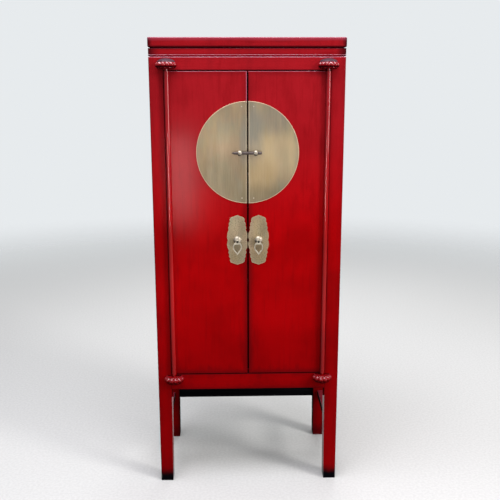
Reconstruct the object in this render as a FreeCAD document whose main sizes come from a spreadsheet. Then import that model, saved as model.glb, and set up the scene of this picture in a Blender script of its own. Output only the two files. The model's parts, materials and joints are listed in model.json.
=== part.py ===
import FreeCAD, Part
import os
import re
import Sketcher

# A tall two-door wedding cabinet in red lacquer: a frame of four square legs joined by rails,
# two slab doors that turn on round posts between carved sockets, and brass fittings.
# X runs to the right seen from the front, Y to the back and Z up; the floor is at Z = 0.
# The origin is below the middle of the whole cabinet, sockets and top included.

# Driving dimensions in millimetres, and counts
SIZES = {
    # Body
    "body_width": 750,
    "body_depth": 447,
    "frame_height": 1764,
    "floor_clearance": 419,
    "leg_size": 55,
    "foot_size": 51,
    "edge_round": 4,
    "edge_ease": 1.5,
    # Rails around the doors, the sides and the back
    "rail_thickness": 24,
    "top_rail_height": 48,
    "bottom_rail_height": 67,
    "middle_rail_height": 45,
    "middle_rail_level": 1074,
    "stop_thickness": 12,
    "stop_lap": 10,
    "floor_ledge": 10,
    # Stretchers between the legs
    "stretcher_height": 32,
    "stretcher_thickness": 28,
    "stretcher_level": 201,
    "side_stretcher_inset": 5,
    "back_stretcher_inset": 12,
    # Panels and boards
    "panel_thickness": 10,
    "panel_setback": 6,
    "floor_thickness": 16,
    "shelf_thickness": 18,
    "lower_shelf_level": 862,
    "upper_shelf_level": 1262,
    "shelf_setback": 45,
    "shelf_clearance": 0.5,
    "batten_thickness": 16,
    "batten_height": 24,
    # Top
    "frieze_height": 34,
    "bead_radius": 3,
    "bead_level": 2,
    "quirk_depth": 8,
    "quirk_height": 3,
    "frieze_round": 2,
    "band_recess": 0.5,
    "band_chamfer": 1.5,
    "ring_width": 58,
    "top_height": 37,
    "top_overhang": 1,
    "top_round": 5,
    "top_panel_thickness": 15,
    "top_panel_lap": 10,
    # Doors
    "door_thickness": 22,
    "door_clearance": 3,
    "door_headroom": 5.8,
    "door_side_clearance": 2,
    "door_meeting_gap": 6,
    "post_radius": 10,
    "post_offset": 7,
    "pivot_radius": 6.5,
    "pivot_seat": 20,
    "pivot_fit": 0.1,
    "pivot_end_gap": 0.3,
    "door_batten_height": 40,
    "door_batten_thickness": 14,
    "door_batten_inset": 20,
    "door_batten_margin": 190,
    # Carved sockets
    "petal_count": 6,
    "petal_ring_radius": 31,
    "petal_radius": 11,
    "petal_foot_radius": 6.4,
    "petal_height": 15,
    "socket_base": 3,
    "dome_radius": 38,
    "shoulder_height": 23,
    "dome_rise": 15.5,
    "dish_radius": 29,
    "dish_depth": 3,
    "top_socket_lift": 3.5,
    "bottom_socket_drop": 3,
    # Round brass plate
    "plate_thickness": 2,
    "plate_bevel": 0.8,
    "moon_radius": 197,
    "moon_drop": 308.2,
    "nail_head_radius": 2.6,
    "nail_crown_radius": 1.4,
    "nail_head_height": 1.2,
    "nail_shank_radius": 1.1,
    "nail_length": 14,
    "nail_fit": 0.05,
    "nail_inset": 20,
    "nail_margin": 20,
    # Lock eyes and pin
    "eye_offset": 31,
    "eye_radius": 10.5,
    "eye_width": 13,
    "eye_reach": 12,
    "eye_bore_radius": 6.1,
    "eye_neck_height": 12,
    "tang_radius": 3,
    "tang_length": 12,
    "tang_fit": 0.05,
    "pin_radius": 5.8,
    "pin_left_tip_radius": 2,
    "pin_right_tip_radius": 3.5,
    "pin_left_taper": 20,
    "pin_right_taper": 9,
    "pin_left_reach": 63,
    "pin_right_reach": 55,
    # Handle plates and ring pulls
    "handle_drop": 346,
    "handle_plate_height": 200,
    "handle_plate_width": 79,
    "boss_radius": 15.5,
    "boss_height": 9,
    "staple_radius": 3.9,
    "staple_wire_radius": 1.3,
    "staple_reach": 12,
    "pull_width": 36,
    "pull_height": 61,
    "pull_thickness": 2.6,
    "pull_rise": 1.8,
    "pull_eye_radius": 3.6,
    "pull_eye_drop": 5.2,
    # Cuts run this far past the faces that they open
    "cut_overrun": 5,
}

# Half of the handle plate's scalloped edge, from the top tip down to the notch at half height,
# in shares of half the plate's width and half its height. Four numbers are an arc through the
# first pair to the second, two numbers are a straight run.
HANDLE_EDGE_SHARES = [
    (0, 1),
    (0.56, 0.92),
    (0.68, 0.86, 0.69, 0.75),
    (0.8, 0.67, 0.77, 0.585),
    (0.865, 0.5, 0.82, 0.425),
    (1, 0.18, 0.945, 0),
]

# Half of the ring pull's edge, from the top of its eye down to the tip, and half of the
# window in it, in shares of half the pull's width and of its height below the swing axis.
PULL_EDGE_SHARES = [
    (0, 0),
    (0.2, -0.006, 0.3, -0.045),
    (0.48, -0.15),
    (1, -0.43, 0.7, -0.73),
    (0, -1),
]
PULL_WINDOW_SHARES = [
    (0, -0.3),
    (0.56, -0.3),
    (0.74, -0.45, 0.45, -0.68),
    (0, -0.85),
]

# Places that several pieces share, as formulas of the sizes
SOCKET_REACH = "(socket_base + petal_ring_radius * cos(90 deg / petal_count) + petal_radius)"
FRONT = f"(({SOCKET_REACH} - body_depth - top_overhang) / 2)"
BACK = f"({FRONT} + body_depth)"
LEG_INNER = "(body_width / 2 - leg_size)"
SPAN_BETWEEN_LEGS = "(body_width - 2 * leg_size)"
DEPTH_BETWEEN_LEGS = "(body_depth - 2 * leg_size)"
LEG_AT_STRETCHER = (
    "(foot_size + (leg_size - foot_size) * (stretcher_level + stretcher_height) / floor_clearance)"
)
RAIL_INNER = "(body_width / 2 - rail_thickness)"
PANEL_OUTER = "(body_width / 2 - panel_setback)"
PANEL_INNER = "(body_width / 2 - panel_setback - panel_thickness)"
BACK_PANEL_FRONT = f"({BACK} - panel_setback - panel_thickness)"
BACK_RAIL_FRONT = f"({BACK} - rail_thickness)"
STOP_BACK = f"({FRONT} + rail_thickness + stop_thickness)"
BOTTOM_RAIL_TOP = "(floor_clearance + bottom_rail_height)"
FLOOR_UNDERSIDE = "(floor_clearance + bottom_rail_height - floor_thickness)"
TOP_RAIL_UNDERSIDE = "(frame_height - top_rail_height)"
DOOR_BOTTOM = f"({BOTTOM_RAIL_TOP} + door_clearance)"
DOOR_TOP = f"({TOP_RAIL_UNDERSIDE} - door_headroom)"
DOOR_HEIGHT = f"({DOOR_TOP} - {DOOR_BOTTOM})"
DOOR_EDGE = f"({LEG_INNER} - door_side_clearance)"
DOOR_WIDTH = f"({DOOR_EDGE} - door_meeting_gap / 2)"
POST_X = f"({DOOR_EDGE} - post_radius)"
POST_Y = f"({FRONT} - post_offset)"
TOP_SOCKET_BASE = f"({TOP_RAIL_UNDERSIDE} + top_socket_lift)"
BOTTOM_SOCKET_BASE = f"({BOTTOM_RAIL_TOP} - bottom_socket_drop)"
UPPER_PIVOT_LENGTH = "(door_headroom + top_socket_lift + pivot_seat - pivot_end_gap)"
LOWER_PIVOT_LENGTH = "(door_clearance + bottom_socket_drop + pivot_seat - pivot_end_gap)"
SHELF_FRONT = f"({FRONT} + shelf_setback)"
MOON_LEVEL = f"({DOOR_TOP} - moon_drop)"
NAIL_SPREAD = "(moon_radius - nail_margin)"
EYE_Y = f"({FRONT} - plate_thickness - eye_reach)"
HANDLE_LEVEL = f"({MOON_LEVEL} - handle_drop)"
HANDLE_X = "(door_meeting_gap / 2 + handle_plate_width / 2)"
SWING_Y = f"({FRONT} - plate_thickness - staple_reach)"

SIDES = {"left": -1, "right": 1}

doc = FreeCAD.newDocument("wedding_cabinet")
sheet = doc.addObject("Spreadsheet::Sheet", "sizes")
for row, (alias, number) in enumerate(SIZES.items(), start=1):
    sheet.set(f"A{row}", alias)
    sheet.set(f"B{row}", str(number))
    sheet.setAlias(f"B{row}", alias)
doc.recompute()

pieces = []


def cells(formula):
    """Point every size that a formula names at its cell in the list of sizes."""
    return re.sub(r"[a-z]+(?:_[a-z]+)+", lambda word: f"sizes.{word.group()}", str(formula))


def value(formula):
    """Work out a formula of the sizes as a number of millimetres."""
    return float(sheet.evalExpression(cells(formula)))


def bind(item, **formulas):
    """Tie properties of an object to formulas; x, y and z are its place."""
    for name, formula in formulas.items():
        path = f".Placement.Base.{name}" if name in ("x", "y", "z") else name
        item.setExpression(path, cells(formula))


def turn(item, axis, degrees):
    """Turn an object about one of its own axes, before its place is set."""
    item.Placement = FreeCAD.Placement(FreeCAD.Vector(), FreeCAD.Rotation(axis, degrees))


X_AXIS = FreeCAD.Vector(1, 0, 0)
Y_AXIS = FreeCAD.Vector(0, 1, 0)
Z_AXIS = FreeCAD.Vector(0, 0, 1)


def new_body(name, x=0, y=0, z=0, about=Z_AXIS, degrees=0, piece=True):
    """Start a body at a place; a piece is exported under its own name."""
    body = doc.addObject("PartDesign::Body", name)
    body.Label = name
    turn(body, about, degrees)
    bind(body, x=x, y=y, z=z)
    if piece:
        pieces.append(body)
    return body


def add(body, kind, name, about=Z_AXIS, degrees=0, **formulas):
    """Add a primitive such as AdditiveBox to a body, with its sizes and place bound."""
    item = body.newObject(f"PartDesign::{kind}", f"{body.Name}_{name}")
    turn(item, about, degrees)
    bind(item, **formulas)
    return item


def box(body, name, x, y, z, kind="AdditiveBox"):
    """Add a box given by (start, length) along each axis."""
    return add(body, kind, name, x=x[0], y=y[0], z=z[0], Length=x[1], Width=y[1], Height=z[1])


def bore(body, name, x, z, radius, depth):
    """Drill a round hole into a body's front face, towards the back."""
    return add(
        body, "SubtractiveCylinder", name, X_AXIS, -90,
        x=x, y="-cut_overrun", z=z, Radius=radius, Height=f"{depth} + cut_overrun",
    )


def own_plane(body, role):
    """Find one of the origin planes of a body."""
    return next(plane for plane in body.Origin.OriginFeatures if plane.Role == role)


def trace(body, name, role, outlines):
    """Draw closed outlines on an origin plane of a body.

    An outline is a list of formulas: the first pair is its start, a further pair is the end of
    a straight run, and four formulas are a point that an arc passes and the arc's end. Every
    point is fixed by named dimensions, so the outline follows the sizes.
    """
    sketch = body.newObject("Sketcher::SketchObject", f"{body.Name}_{name}")
    sketch.AttachmentSupport = (own_plane(body, role), [""])
    sketch.MapMode = "FlatFace"
    bound = {}

    def hold(geometry, end, point, tag):
        """Fix one point of the sketch at its two formulas."""
        for axis, line, formula in (("X", -2, point[0]), ("Y", -1, point[1])):
            number = value(formula)
            if abs(number) < 1e-9:
                sketch.addConstraint(Sketcher.Constraint("PointOnObject", geometry, end, line))
                continue
            rule = Sketcher.Constraint("Distance" + axis, -1, 1, geometry, end, number)
            label = f"{axis.lower()}_{tag}"
            sketch.renameConstraint(sketch.addConstraint(rule), label)
            bound[label] = cells(formula)

    def spot(point):
        """Turn a pair of formulas into a point of the sketch plane."""
        return FreeCAD.Vector(value(point[0]), value(point[1]), 0)

    for number, outline in enumerate(outlines):
        last = outline[0]
        runs = []
        for step in list(outline[1:]) + [outline[0]]:
            goal = step[-2:]
            if len(step) == 4:
                curve = Part.Arc(spot(last), spot(step[:2]), spot(goal))
            elif spot(last).isEqual(spot(goal), 1e-7):
                continue
            else:
                curve = Part.LineSegment(spot(last), spot(goal))
            run = sketch.addGeometry(curve, False)
            tag = f"{number}_{len(runs)}"
            start = 1
            if len(step) == 4:
                start_gap = sketch.getPoint(run, 1).distanceToPoint(spot(last))
                start = 1 if start_gap < sketch.getPoint(run, 2).distanceToPoint(spot(last)) else 2
                through = sketch.addGeometry(Part.Point(spot(step[:2])), True)
                sketch.addConstraint(Sketcher.Constraint("PointOnObject", through, 1, run))
                hold(through, 1, step[:2], tag + "_through")
            hold(run, start, last, tag)
            runs.append((run, start))
            last = goal
        for (run, start), (following, entry) in zip(runs, runs[1:] + runs[:1]):
            sketch.addConstraint(Sketcher.Constraint("Coincident", run, 3 - start, following, entry))
    for label, formula in bound.items():
        sketch.setExpression(f"Constraints.{label}", formula)
    return sketch


def from_shares(table, across, up, lift=0):
    """Write an outline given in shares of a width and a height as formulas."""
    return [
        tuple(
            f"{share} * ({up}) + {lift}" if index % 2 else f"{share} * ({across})"
            for index, share in enumerate(step)
        )
        for step in table
    ]


def backwards(outline):
    """The same outline drawn from its end to its start."""
    ends = [step[-2:] for step in outline]
    steps = [outline[index][:-2] + ends[index - 1] for index in range(len(outline) - 1, 0, -1)]
    return [ends[-1]] + steps


def pad(body, sketch, length):
    """Give a sketch a thickness along its normal."""
    item = body.newObject("PartDesign::Pad", f"{sketch.Name}_pad")
    item.Profile = sketch
    bind(item, Length=length)
    return item


def lying_on(shape, faces):
    """Name the edges of a shape that lie on all the given outer sides, such as 'x- z+'."""
    whole = shape.BoundBox
    limits = {
        "x-": ("XMin", whole.XMin), "x+": ("XMax", whole.XMax),
        "y-": ("YMin", whole.YMin), "y+": ("YMax", whole.YMax),
        "z-": ("ZMin", whole.ZMin), "z+": ("ZMax", whole.ZMax),
    }
    names = []
    for number, edge in enumerate(shape.Edges, start=1):
        reach = edge.BoundBox
        flat = True
        for face in faces.split():
            limit, level = limits[face]
            low, high = getattr(reach, limit[0] + "Min"), getattr(reach, limit[0] + "Max")
            flat = flat and abs(low - level) < 1e-4 and abs(high - level) < 1e-4
        if flat:
            names.append(f"Edge{number}")
    return names


def soften(body, corners, size, kind="Fillet"):
    """Round or bevel the edges of a body that lie on the given outer sides."""
    doc.recompute()
    base = body.Tip
    names = sorted({name for corner in corners for name in lying_on(base.Shape, corner)})
    item = body.newObject(f"PartDesign::{kind}", f"{body.Name}_{kind.lower()}")
    item.Base = (base, names)
    bind(item, **{"Radius" if kind == "Fillet" else "Size": size})
    return item


def board(name, x, y, z, corners=(), size="edge_ease"):
    """A straight board given by (start, length) along each axis, with some edges softened."""
    body = new_body(name, x[0], y[0], z[0])
    add(body, "AdditiveBox", "board", Length=x[1], Width=y[1], Height=z[1])
    if corners:
        soften(body, corners, size)
    return body


def group(name, members):
    """Several separate solids of one kind under one name."""
    item = doc.addObject("Part::Compound", name)
    item.Label = name
    item.Links = members
    pieces.append(item)
    return item


# Legs: square above the rails, drawn in below them on the two inner faces
def leg(name, x, y, degrees):
    body = new_body(name, x, y, 0, degrees=degrees)
    box(body, "shaft", (0, "leg_size"), (0, "leg_size"),
        ("floor_clearance", "frame_height - floor_clearance"))
    add(
        body, "AdditiveWedge", "foot", X_AXIS, 90,
        Xmin=0, Xmax="foot_size", X2min=0, X2max="leg_size",
        Zmin="-foot_size", Zmax=0, Z2min="-leg_size", Z2max=0,
        Ymin=0, Ymax="floor_clearance",
    )
    soften(body, ["x- y-", "x- z+", "y- z+"], "edge_round")


leg("front_left_leg", "-body_width / 2", FRONT, 0)
leg("front_right_leg", "body_width / 2", FRONT, 90)
leg("back_right_leg", "body_width / 2", BACK, 180)
leg("back_left_leg", "-body_width / 2", BACK, 270)

# Front rails: each has a stop behind the doors, and the lower one a ledge for the floor
STOP_DEPTH = "rail_thickness + stop_thickness"
TOP_RAIL_SECTION = [
    (0, 0),
    ("rail_thickness", 0),
    ("rail_thickness", "-stop_lap"),
    (STOP_DEPTH, "-stop_lap"),
    (STOP_DEPTH, "top_rail_height"),
    (0, "top_rail_height"),
]
LEDGE_DEPTH = "rail_thickness + stop_thickness + floor_ledge"
BOTTOM_RAIL_SECTION = [
    (0, 0),
    (LEDGE_DEPTH, 0),
    (LEDGE_DEPTH, "bottom_rail_height - floor_thickness"),
    (STOP_DEPTH, "bottom_rail_height - floor_thickness"),
    (STOP_DEPTH, "bottom_rail_height + stop_lap"),
    ("rail_thickness", "bottom_rail_height + stop_lap"),
    ("rail_thickness", "bottom_rail_height"),
    (0, "bottom_rail_height"),
]


def front_rail(name, section, level, corners, size):
    body = new_body(name, f"-{LEG_INNER}", FRONT, level)
    pad(body, trace(body, "section", "YZ_Plane", [section]), SPAN_BETWEEN_LEGS)
    soften(body, corners, size)


front_rail("front_top_rail", TOP_RAIL_SECTION, TOP_RAIL_UNDERSIDE, ["y- z+"], "edge_round")
front_rail("front_bottom_rail", BOTTOM_RAIL_SECTION, "floor_clearance", ["y- z-"], "edge_ease")

# Side and back rails, flush with the outer faces of the legs
MIDDLE_RAIL_TOP = "(middle_rail_level + middle_rail_height)"
RAILS = {
    "top": (TOP_RAIL_UNDERSIDE, "top_rail_height", "z+", "edge_round"),
    "middle": ("middle_rail_level", "middle_rail_height", "z+", "edge_ease"),
    "bottom": ("floor_clearance", "bottom_rail_height - floor_thickness", "z-", "edge_ease"),
}
for rail, (level, height, edge, size) in RAILS.items():
    for side, sign in SIDES.items():
        start = f"{RAIL_INNER}" if sign > 0 else "-body_width / 2"
        outer = "x+" if sign > 0 else "x-"
        board(
            f"{side}_side_{rail}_rail", (start, "rail_thickness"),
            (f"{FRONT} + leg_size", DEPTH_BETWEEN_LEGS), (level, height),
            [f"{outer} {edge}"], size,
        )
    board(
        f"back_{rail}_rail", (f"-{LEG_INNER}", SPAN_BETWEEN_LEGS),
        (BACK_RAIL_FRONT, "rail_thickness"), (level, height), [f"y+ {edge}"], size,
    )

# Panels between the rails, set back from the faces of the frame
PANELS = {
    "lower": (FLOOR_UNDERSIDE, f"middle_rail_level - {FLOOR_UNDERSIDE}"),
    "upper": (MIDDLE_RAIL_TOP, f"{TOP_RAIL_UNDERSIDE} - {MIDDLE_RAIL_TOP}"),
}
for panel, (level, height) in PANELS.items():
    for side, sign in SIDES.items():
        start = PANEL_INNER if sign > 0 else f"-{PANEL_OUTER}"
        board(
            f"{side}_side_{panel}_panel", (start, "panel_thickness"),
            (f"{FRONT} + leg_size", DEPTH_BETWEEN_LEGS), (level, height),
        )
    board(
        f"back_{panel}_panel", (f"-{LEG_INNER}", SPAN_BETWEEN_LEGS),
        (BACK_PANEL_FRONT, "panel_thickness"), (level, height),
    )

# Floor board on the bottom rails, notched around the legs
floor = new_body("floor_board", f"-{PANEL_INNER}", STOP_BACK, FLOOR_UNDERSIDE)
FLOOR_DEPTH = f"({BACK_PANEL_FRONT} - {STOP_BACK})"
box(floor, "board", (0, f"2 * {PANEL_INNER}"), (0, FLOOR_DEPTH), (0, "floor_thickness"))
NOTCH_WIDTH = f"({PANEL_INNER} - {LEG_INNER})"
FRONT_NOTCH = "(leg_size - rail_thickness - stop_thickness)"
BACK_NOTCH = "(leg_size - panel_setback - panel_thickness)"
for side, x_start in (("left", "-cut_overrun"), ("right", f"{PANEL_INNER} + {LEG_INNER}")):
    for end, y_start, depth in (
        ("front", "-cut_overrun", FRONT_NOTCH),
        ("back", f"{FLOOR_DEPTH} - {BACK_NOTCH}", BACK_NOTCH),
    ):
        box(
            floor, f"{end}_{side}_notch", (x_start, f"{NOTCH_WIDTH} + cut_overrun"),
            (y_start, f"{depth} + cut_overrun"),
            ("-cut_overrun", "floor_thickness + 2 * cut_overrun"), "SubtractiveBox",
        )

# Stretchers low between the legs, at the sides and the back
for side, sign in SIDES.items():
    near = "-body_width / 2 + side_stretcher_inset"
    far = "body_width / 2 - side_stretcher_inset - stretcher_thickness"
    board(
        f"{side}_stretcher", (far if sign > 0 else near, "stretcher_thickness"),
        (f"{FRONT} + {LEG_AT_STRETCHER}", f"body_depth - 2 * {LEG_AT_STRETCHER}"),
        ("stretcher_level", "stretcher_height"), ["x- z+", "x+ z+", "x- z-", "x+ z-"],
    )
board(
    "back_stretcher",
    (f"{LEG_AT_STRETCHER} - body_width / 2", f"body_width - 2 * {LEG_AT_STRETCHER}"),
    (f"{BACK} - leg_size + back_stretcher_inset", "stretcher_thickness"),
    ("stretcher_level", "stretcher_height"), ["y- z+", "y+ z+", "y- z-", "y+ z-"],
)


# Frieze: one section led around the body's outline, mitred at the corners. From the bottom it
# has a shadow groove, a small bead, a plain band with a chamfered foot and a rounded shoulder,
# and another groove.
QUARTER = "(1 - cos(45 deg))"
FRIEZE_SHOULDER = "(frieze_height - quirk_height)"
frieze = new_body("top_frieze", 0, FRONT, "frame_height")
frieze_path = trace(frieze, "path", "XY_Plane", [[
    (0, 0),
    ("body_width / 2", 0),
    ("body_width / 2", "body_depth"),
    ("-body_width / 2", "body_depth"),
    ("-body_width / 2", 0),
]])
frieze_section = trace(frieze, "section", "YZ_Plane", [[
    ("quirk_depth", 0),
    ("quirk_depth", "bead_level"),
    ("bead_radius", "bead_level"),
    (0, "bead_level + bead_radius", "bead_radius", "bead_level + 2 * bead_radius"),
    ("band_recess", "bead_level + 2 * bead_radius + band_chamfer"),
    ("band_recess", f"{FRIEZE_SHOULDER} - frieze_round"),
    (f"band_recess + frieze_round * {QUARTER}",
     f"{FRIEZE_SHOULDER} - frieze_round * {QUARTER}",
     "band_recess + frieze_round", FRIEZE_SHOULDER),
    ("quirk_depth", FRIEZE_SHOULDER),
    ("quirk_depth", "frieze_height"),
    ("ring_width", "frieze_height"),
    ("ring_width", 0),
]])
doc.recompute()
frieze_pipe = frieze.newObject("PartDesign::AdditivePipe", "top_frieze_pipe")
frieze_pipe.Profile = frieze_section
frieze_pipe.Spine = frieze_path
frieze_pipe.Transition = "Right corner"

# Top frame over the frieze, rebated for the panel that fills it
TOP_LEVEL = "(frame_height + frieze_height)"
PANEL_SEAT = "(top_height - top_panel_thickness)"
TOP_WIDTH = "(body_width + 2 * top_overhang)"
TOP_DEPTH = "(body_depth + 2 * top_overhang)"
RING_INNER = "(ring_width + top_overhang)"
REBATE_INNER = "(ring_width + top_overhang - top_panel_lap)"
top_frame = new_body(
    "top_frame", "-body_width / 2 - top_overhang", f"{FRONT} - top_overhang", TOP_LEVEL,
)
box(top_frame, "slab", (0, TOP_WIDTH), (0, TOP_DEPTH), (0, "top_height"))
soften(top_frame, ["x- z-", "x+ z-", "y- z-", "y+ z-"], "top_round")
soften(top_frame, ["x- z+", "x+ z+", "y- z+", "y+ z+"], "edge_round")
box(
    top_frame, "opening", (RING_INNER, f"{TOP_WIDTH} - 2 * {RING_INNER}"),
    (RING_INNER, f"{TOP_DEPTH} - 2 * {RING_INNER}"),
    ("-cut_overrun", "top_height + 2 * cut_overrun"), "SubtractiveBox",
)
box(
    top_frame, "rebate", (REBATE_INNER, f"{TOP_WIDTH} - 2 * {REBATE_INNER}"),
    (REBATE_INNER, f"{TOP_DEPTH} - 2 * {REBATE_INNER}"),
    (PANEL_SEAT, "top_panel_thickness + cut_overrun"), "SubtractiveBox",
)
PANEL_MARGIN = "(ring_width - top_panel_lap)"
board(
    "top_panel", (f"{PANEL_MARGIN} - body_width / 2", f"body_width - 2 * {PANEL_MARGIN}"),
    (f"{FRONT} + {PANEL_MARGIN}", f"body_depth - 2 * {PANEL_MARGIN}"),
    (f"{TOP_LEVEL} + {PANEL_SEAT}", "top_panel_thickness"),
)

# Shelves, and the battens on the legs that carry them
battens = []
for shelf, level in (("lower", "lower_shelf_level"), ("upper", "upper_shelf_level")):
    board(
        f"{shelf}_shelf",
        (f"shelf_clearance - {LEG_INNER}", f"2 * {LEG_INNER} - 2 * shelf_clearance"),
        (SHELF_FRONT, f"{BACK_RAIL_FRONT} - {SHELF_FRONT}"), (level, "shelf_thickness"),
        ["y- z+", "y- z-"],
    )
    for side, sign in SIDES.items():
        batten = doc.addObject("Part::Box", f"{shelf}_{side}_shelf_batten")
        start = f"{LEG_INNER} - batten_thickness" if sign > 0 else f"-{LEG_INNER}"
        bind(
            batten, x=start, y=SHELF_FRONT, z=f"{level} - batten_height",
            Length="batten_thickness", Width=f"{BACK_RAIL_FRONT} - {SHELF_FRONT}",
            Height="batten_height",
        )
        battens.append(batten)
group("shelf_battens", battens)


# Carved sockets: half of a low dome over a ring of petals, its flat face towards the door post
DOME_CURVE = "((dome_radius * dome_radius + dome_rise * dome_rise) / (2 * dome_rise))"
HALF_LEAN = f"(asin(dome_radius / {DOME_CURVE}) / 2)"


def socket(name, x, level, degrees):
    body = new_body(name, x, f"{FRONT} - socket_base", level, about=Y_AXIS, degrees=degrees)
    dome = trace(body, "dome", "XZ_Plane", [[
        (0, 0),
        ("dome_radius", 0),
        ("dome_radius", "shoulder_height"),
        (f"{DOME_CURVE} * sin({HALF_LEAN})",
         f"shoulder_height + dome_rise - {DOME_CURVE} * (1 - cos({HALF_LEAN}))",
         0, "shoulder_height + dome_rise"),
    ]])
    turned = body.newObject("PartDesign::Revolution", f"{name}_dome_turned")
    turned.Profile = dome
    turned.ReferenceAxis = (dome, ["V_Axis"])
    first = "(90 deg / petal_count)"
    place = {"x": f"-petal_ring_radius * cos{first}", "y": f"-petal_ring_radius * sin{first}"}
    foot = add(
        body, "AdditiveCone", "petal_foot", **place,
        Radius1="petal_foot_radius", Radius2="petal_radius", Height="petal_height",
    )
    crown = add(
        body, "AdditiveSphere", "petal_crown", **place, z="petal_height", Radius="petal_radius",
    )
    doc.recompute()
    ring = body.newObject("PartDesign::PolarPattern", f"{name}_petals")
    ring.Originals = [foot, crown]
    ring.Axis = (dome, ["V_Axis"])
    bind(ring, Occurrences="petal_count", Angle="180 deg - 180 deg / petal_count")
    body.Tip = ring
    doc.recompute()
    wide = f"4 * {SOCKET_REACH}"
    box(body, "wall", (f"-2 * {SOCKET_REACH}", wide), ("socket_base", wide),
        (f"-2 * {SOCKET_REACH}", wide), "SubtractiveBox")
    add(body, "SubtractiveCylinder", "dish", z="-cut_overrun",
        Radius="dish_radius", Height="dish_depth + cut_overrun")
    add(body, "SubtractiveCylinder", "bore", y="socket_base - post_offset", z="-cut_overrun",
        Radius="pivot_radius + pivot_fit", Height="pivot_seat + cut_overrun")


for side, sign in SIDES.items():
    socket(f"{side}_top_socket", f"{sign} * {POST_X}", TOP_SOCKET_BASE, 0)
    socket(f"{side}_bottom_socket", f"{sign} * {POST_X}", BOTTOM_SOCKET_BASE, 180)


# Doors: a slab, a flat-backed round post with a pivot at each end, and battens behind
def door(side, sign):
    start = "door_meeting_gap / 2" if sign > 0 else f"-{DOOR_EDGE}"
    slab = new_body(f"{side}_door_panel", start, FRONT, DOOR_BOTTOM)
    box(slab, "slab", (0, DOOR_WIDTH), (0, "door_thickness"), (0, DOOR_HEIGHT))
    soften(slab, ["y-"], "edge_ease")

    def from_middle(distance):
        """Distance from the cabinet's middle, as a place across this slab."""
        return f"{sign} * ({distance}) - ({start})"

    nail_x = from_middle("door_meeting_gap / 2 + nail_inset")
    for end, nail_level in (("lower", f"{MOON_LEVEL} - {NAIL_SPREAD}"),
                            ("upper", f"{MOON_LEVEL} + {NAIL_SPREAD}")):
        bore(slab, f"{end}_nail_hole", nail_x, f"{nail_level} - {DOOR_BOTTOM}",
             "nail_shank_radius + nail_fit", "nail_length - plate_thickness")
    bore(slab, "eye_hole", from_middle("eye_offset"), f"{MOON_LEVEL} - {DOOR_BOTTOM}",
         "tang_radius + tang_fit", "tang_length")
    bore(slab, "boss_hole", from_middle(HANDLE_X), f"{HANDLE_LEVEL} - {DOOR_BOTTOM}",
         "tang_radius + tang_fit", "tang_length")

    post = new_body(f"{side}_door_post", f"{sign} * {POST_X}", POST_Y, DOOR_BOTTOM)
    flat = "sqrt(post_radius * post_radius - post_offset * post_offset)"
    section = trace(post, "section", "XY_Plane", [[
        (flat, "post_offset"),
        (f"-{flat}", "post_offset"),
        (0, "-post_radius", flat, "post_offset"),
    ]])
    pad(post, section, DOOR_HEIGHT)
    add(post, "AdditiveCylinder", "lower_pivot", z=f"-{LOWER_PIVOT_LENGTH}",
        Radius="pivot_radius", Height=LOWER_PIVOT_LENGTH)
    add(post, "AdditiveCylinder", "upper_pivot", z=DOOR_HEIGHT,
        Radius="pivot_radius", Height=UPPER_PIVOT_LENGTH)

    near = "door_meeting_gap / 2 + door_batten_inset"
    strips = []
    for end, level in (
        ("lower", f"{DOOR_BOTTOM} + door_batten_margin"),
        ("upper", f"{DOOR_TOP} - door_batten_margin - door_batten_height"),
    ):
        strip = doc.addObject("Part::Box", f"{side}_{end}_door_batten")
        bind(
            strip, x=near if sign > 0 else f"door_batten_inset - {DOOR_EDGE}",
            y=f"{FRONT} + door_thickness", z=level,
            Length=f"{DOOR_WIDTH} - 2 * door_batten_inset", Width="door_batten_thickness",
            Height="door_batten_height",
        )
        strips.append(strip)
    group(f"{side}_door_battens", strips)


# Half of the round brass plate, flush with the door's meeting edge, and its nails
def moon_plate(side, sign):
    body = new_body(f"{side}_moon_plate", f"{sign} * door_meeting_gap / 2", FRONT, MOON_LEVEL)
    half = trace(body, "half_disc", "XZ_Plane", [[
        (0, "moon_radius"),
        (0, "-moon_radius"),
        (f"{sign} * moon_radius", 0, 0, "moon_radius"),
    ]])
    pad(body, half, "plate_thickness")
    soften(body, ["y-"], "plate_bevel", "Chamfer")
    depth = "plate_thickness + 2 * cut_overrun"
    nails = []
    for end, level in (("lower", f"-{NAIL_SPREAD}"), ("upper", NAIL_SPREAD)):
        hole = bore(body, f"{end}_nail_hole", f"{sign} * nail_inset", level,
                    "nail_shank_radius + nail_fit", depth)
        bind(hole, y="-plate_thickness - cut_overrun")
        nail = new_body(
            f"{side}_{end}_plate_nail", f"{sign} * (door_meeting_gap / 2 + nail_inset)",
            f"{FRONT} - plate_thickness", f"{MOON_LEVEL} + {level}", X_AXIS, 90, piece=False,
        )
        add(nail, "AdditiveCone", "head", Radius1="nail_head_radius",
            Radius2="nail_crown_radius", Height="nail_head_height")
        add(nail, "AdditiveCylinder", "shank", z="-nail_length",
            Radius="nail_shank_radius", Height="nail_length")
        nails.append(nail)
    eye_hole = bore(body, "eye_hole", f"{sign} * (eye_offset - door_meeting_gap / 2)", 0,
                    "tang_radius + tang_fit", depth)
    bind(eye_hole, y="-plate_thickness - cut_overrun")
    group(f"{side}_plate_nails", nails)


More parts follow.
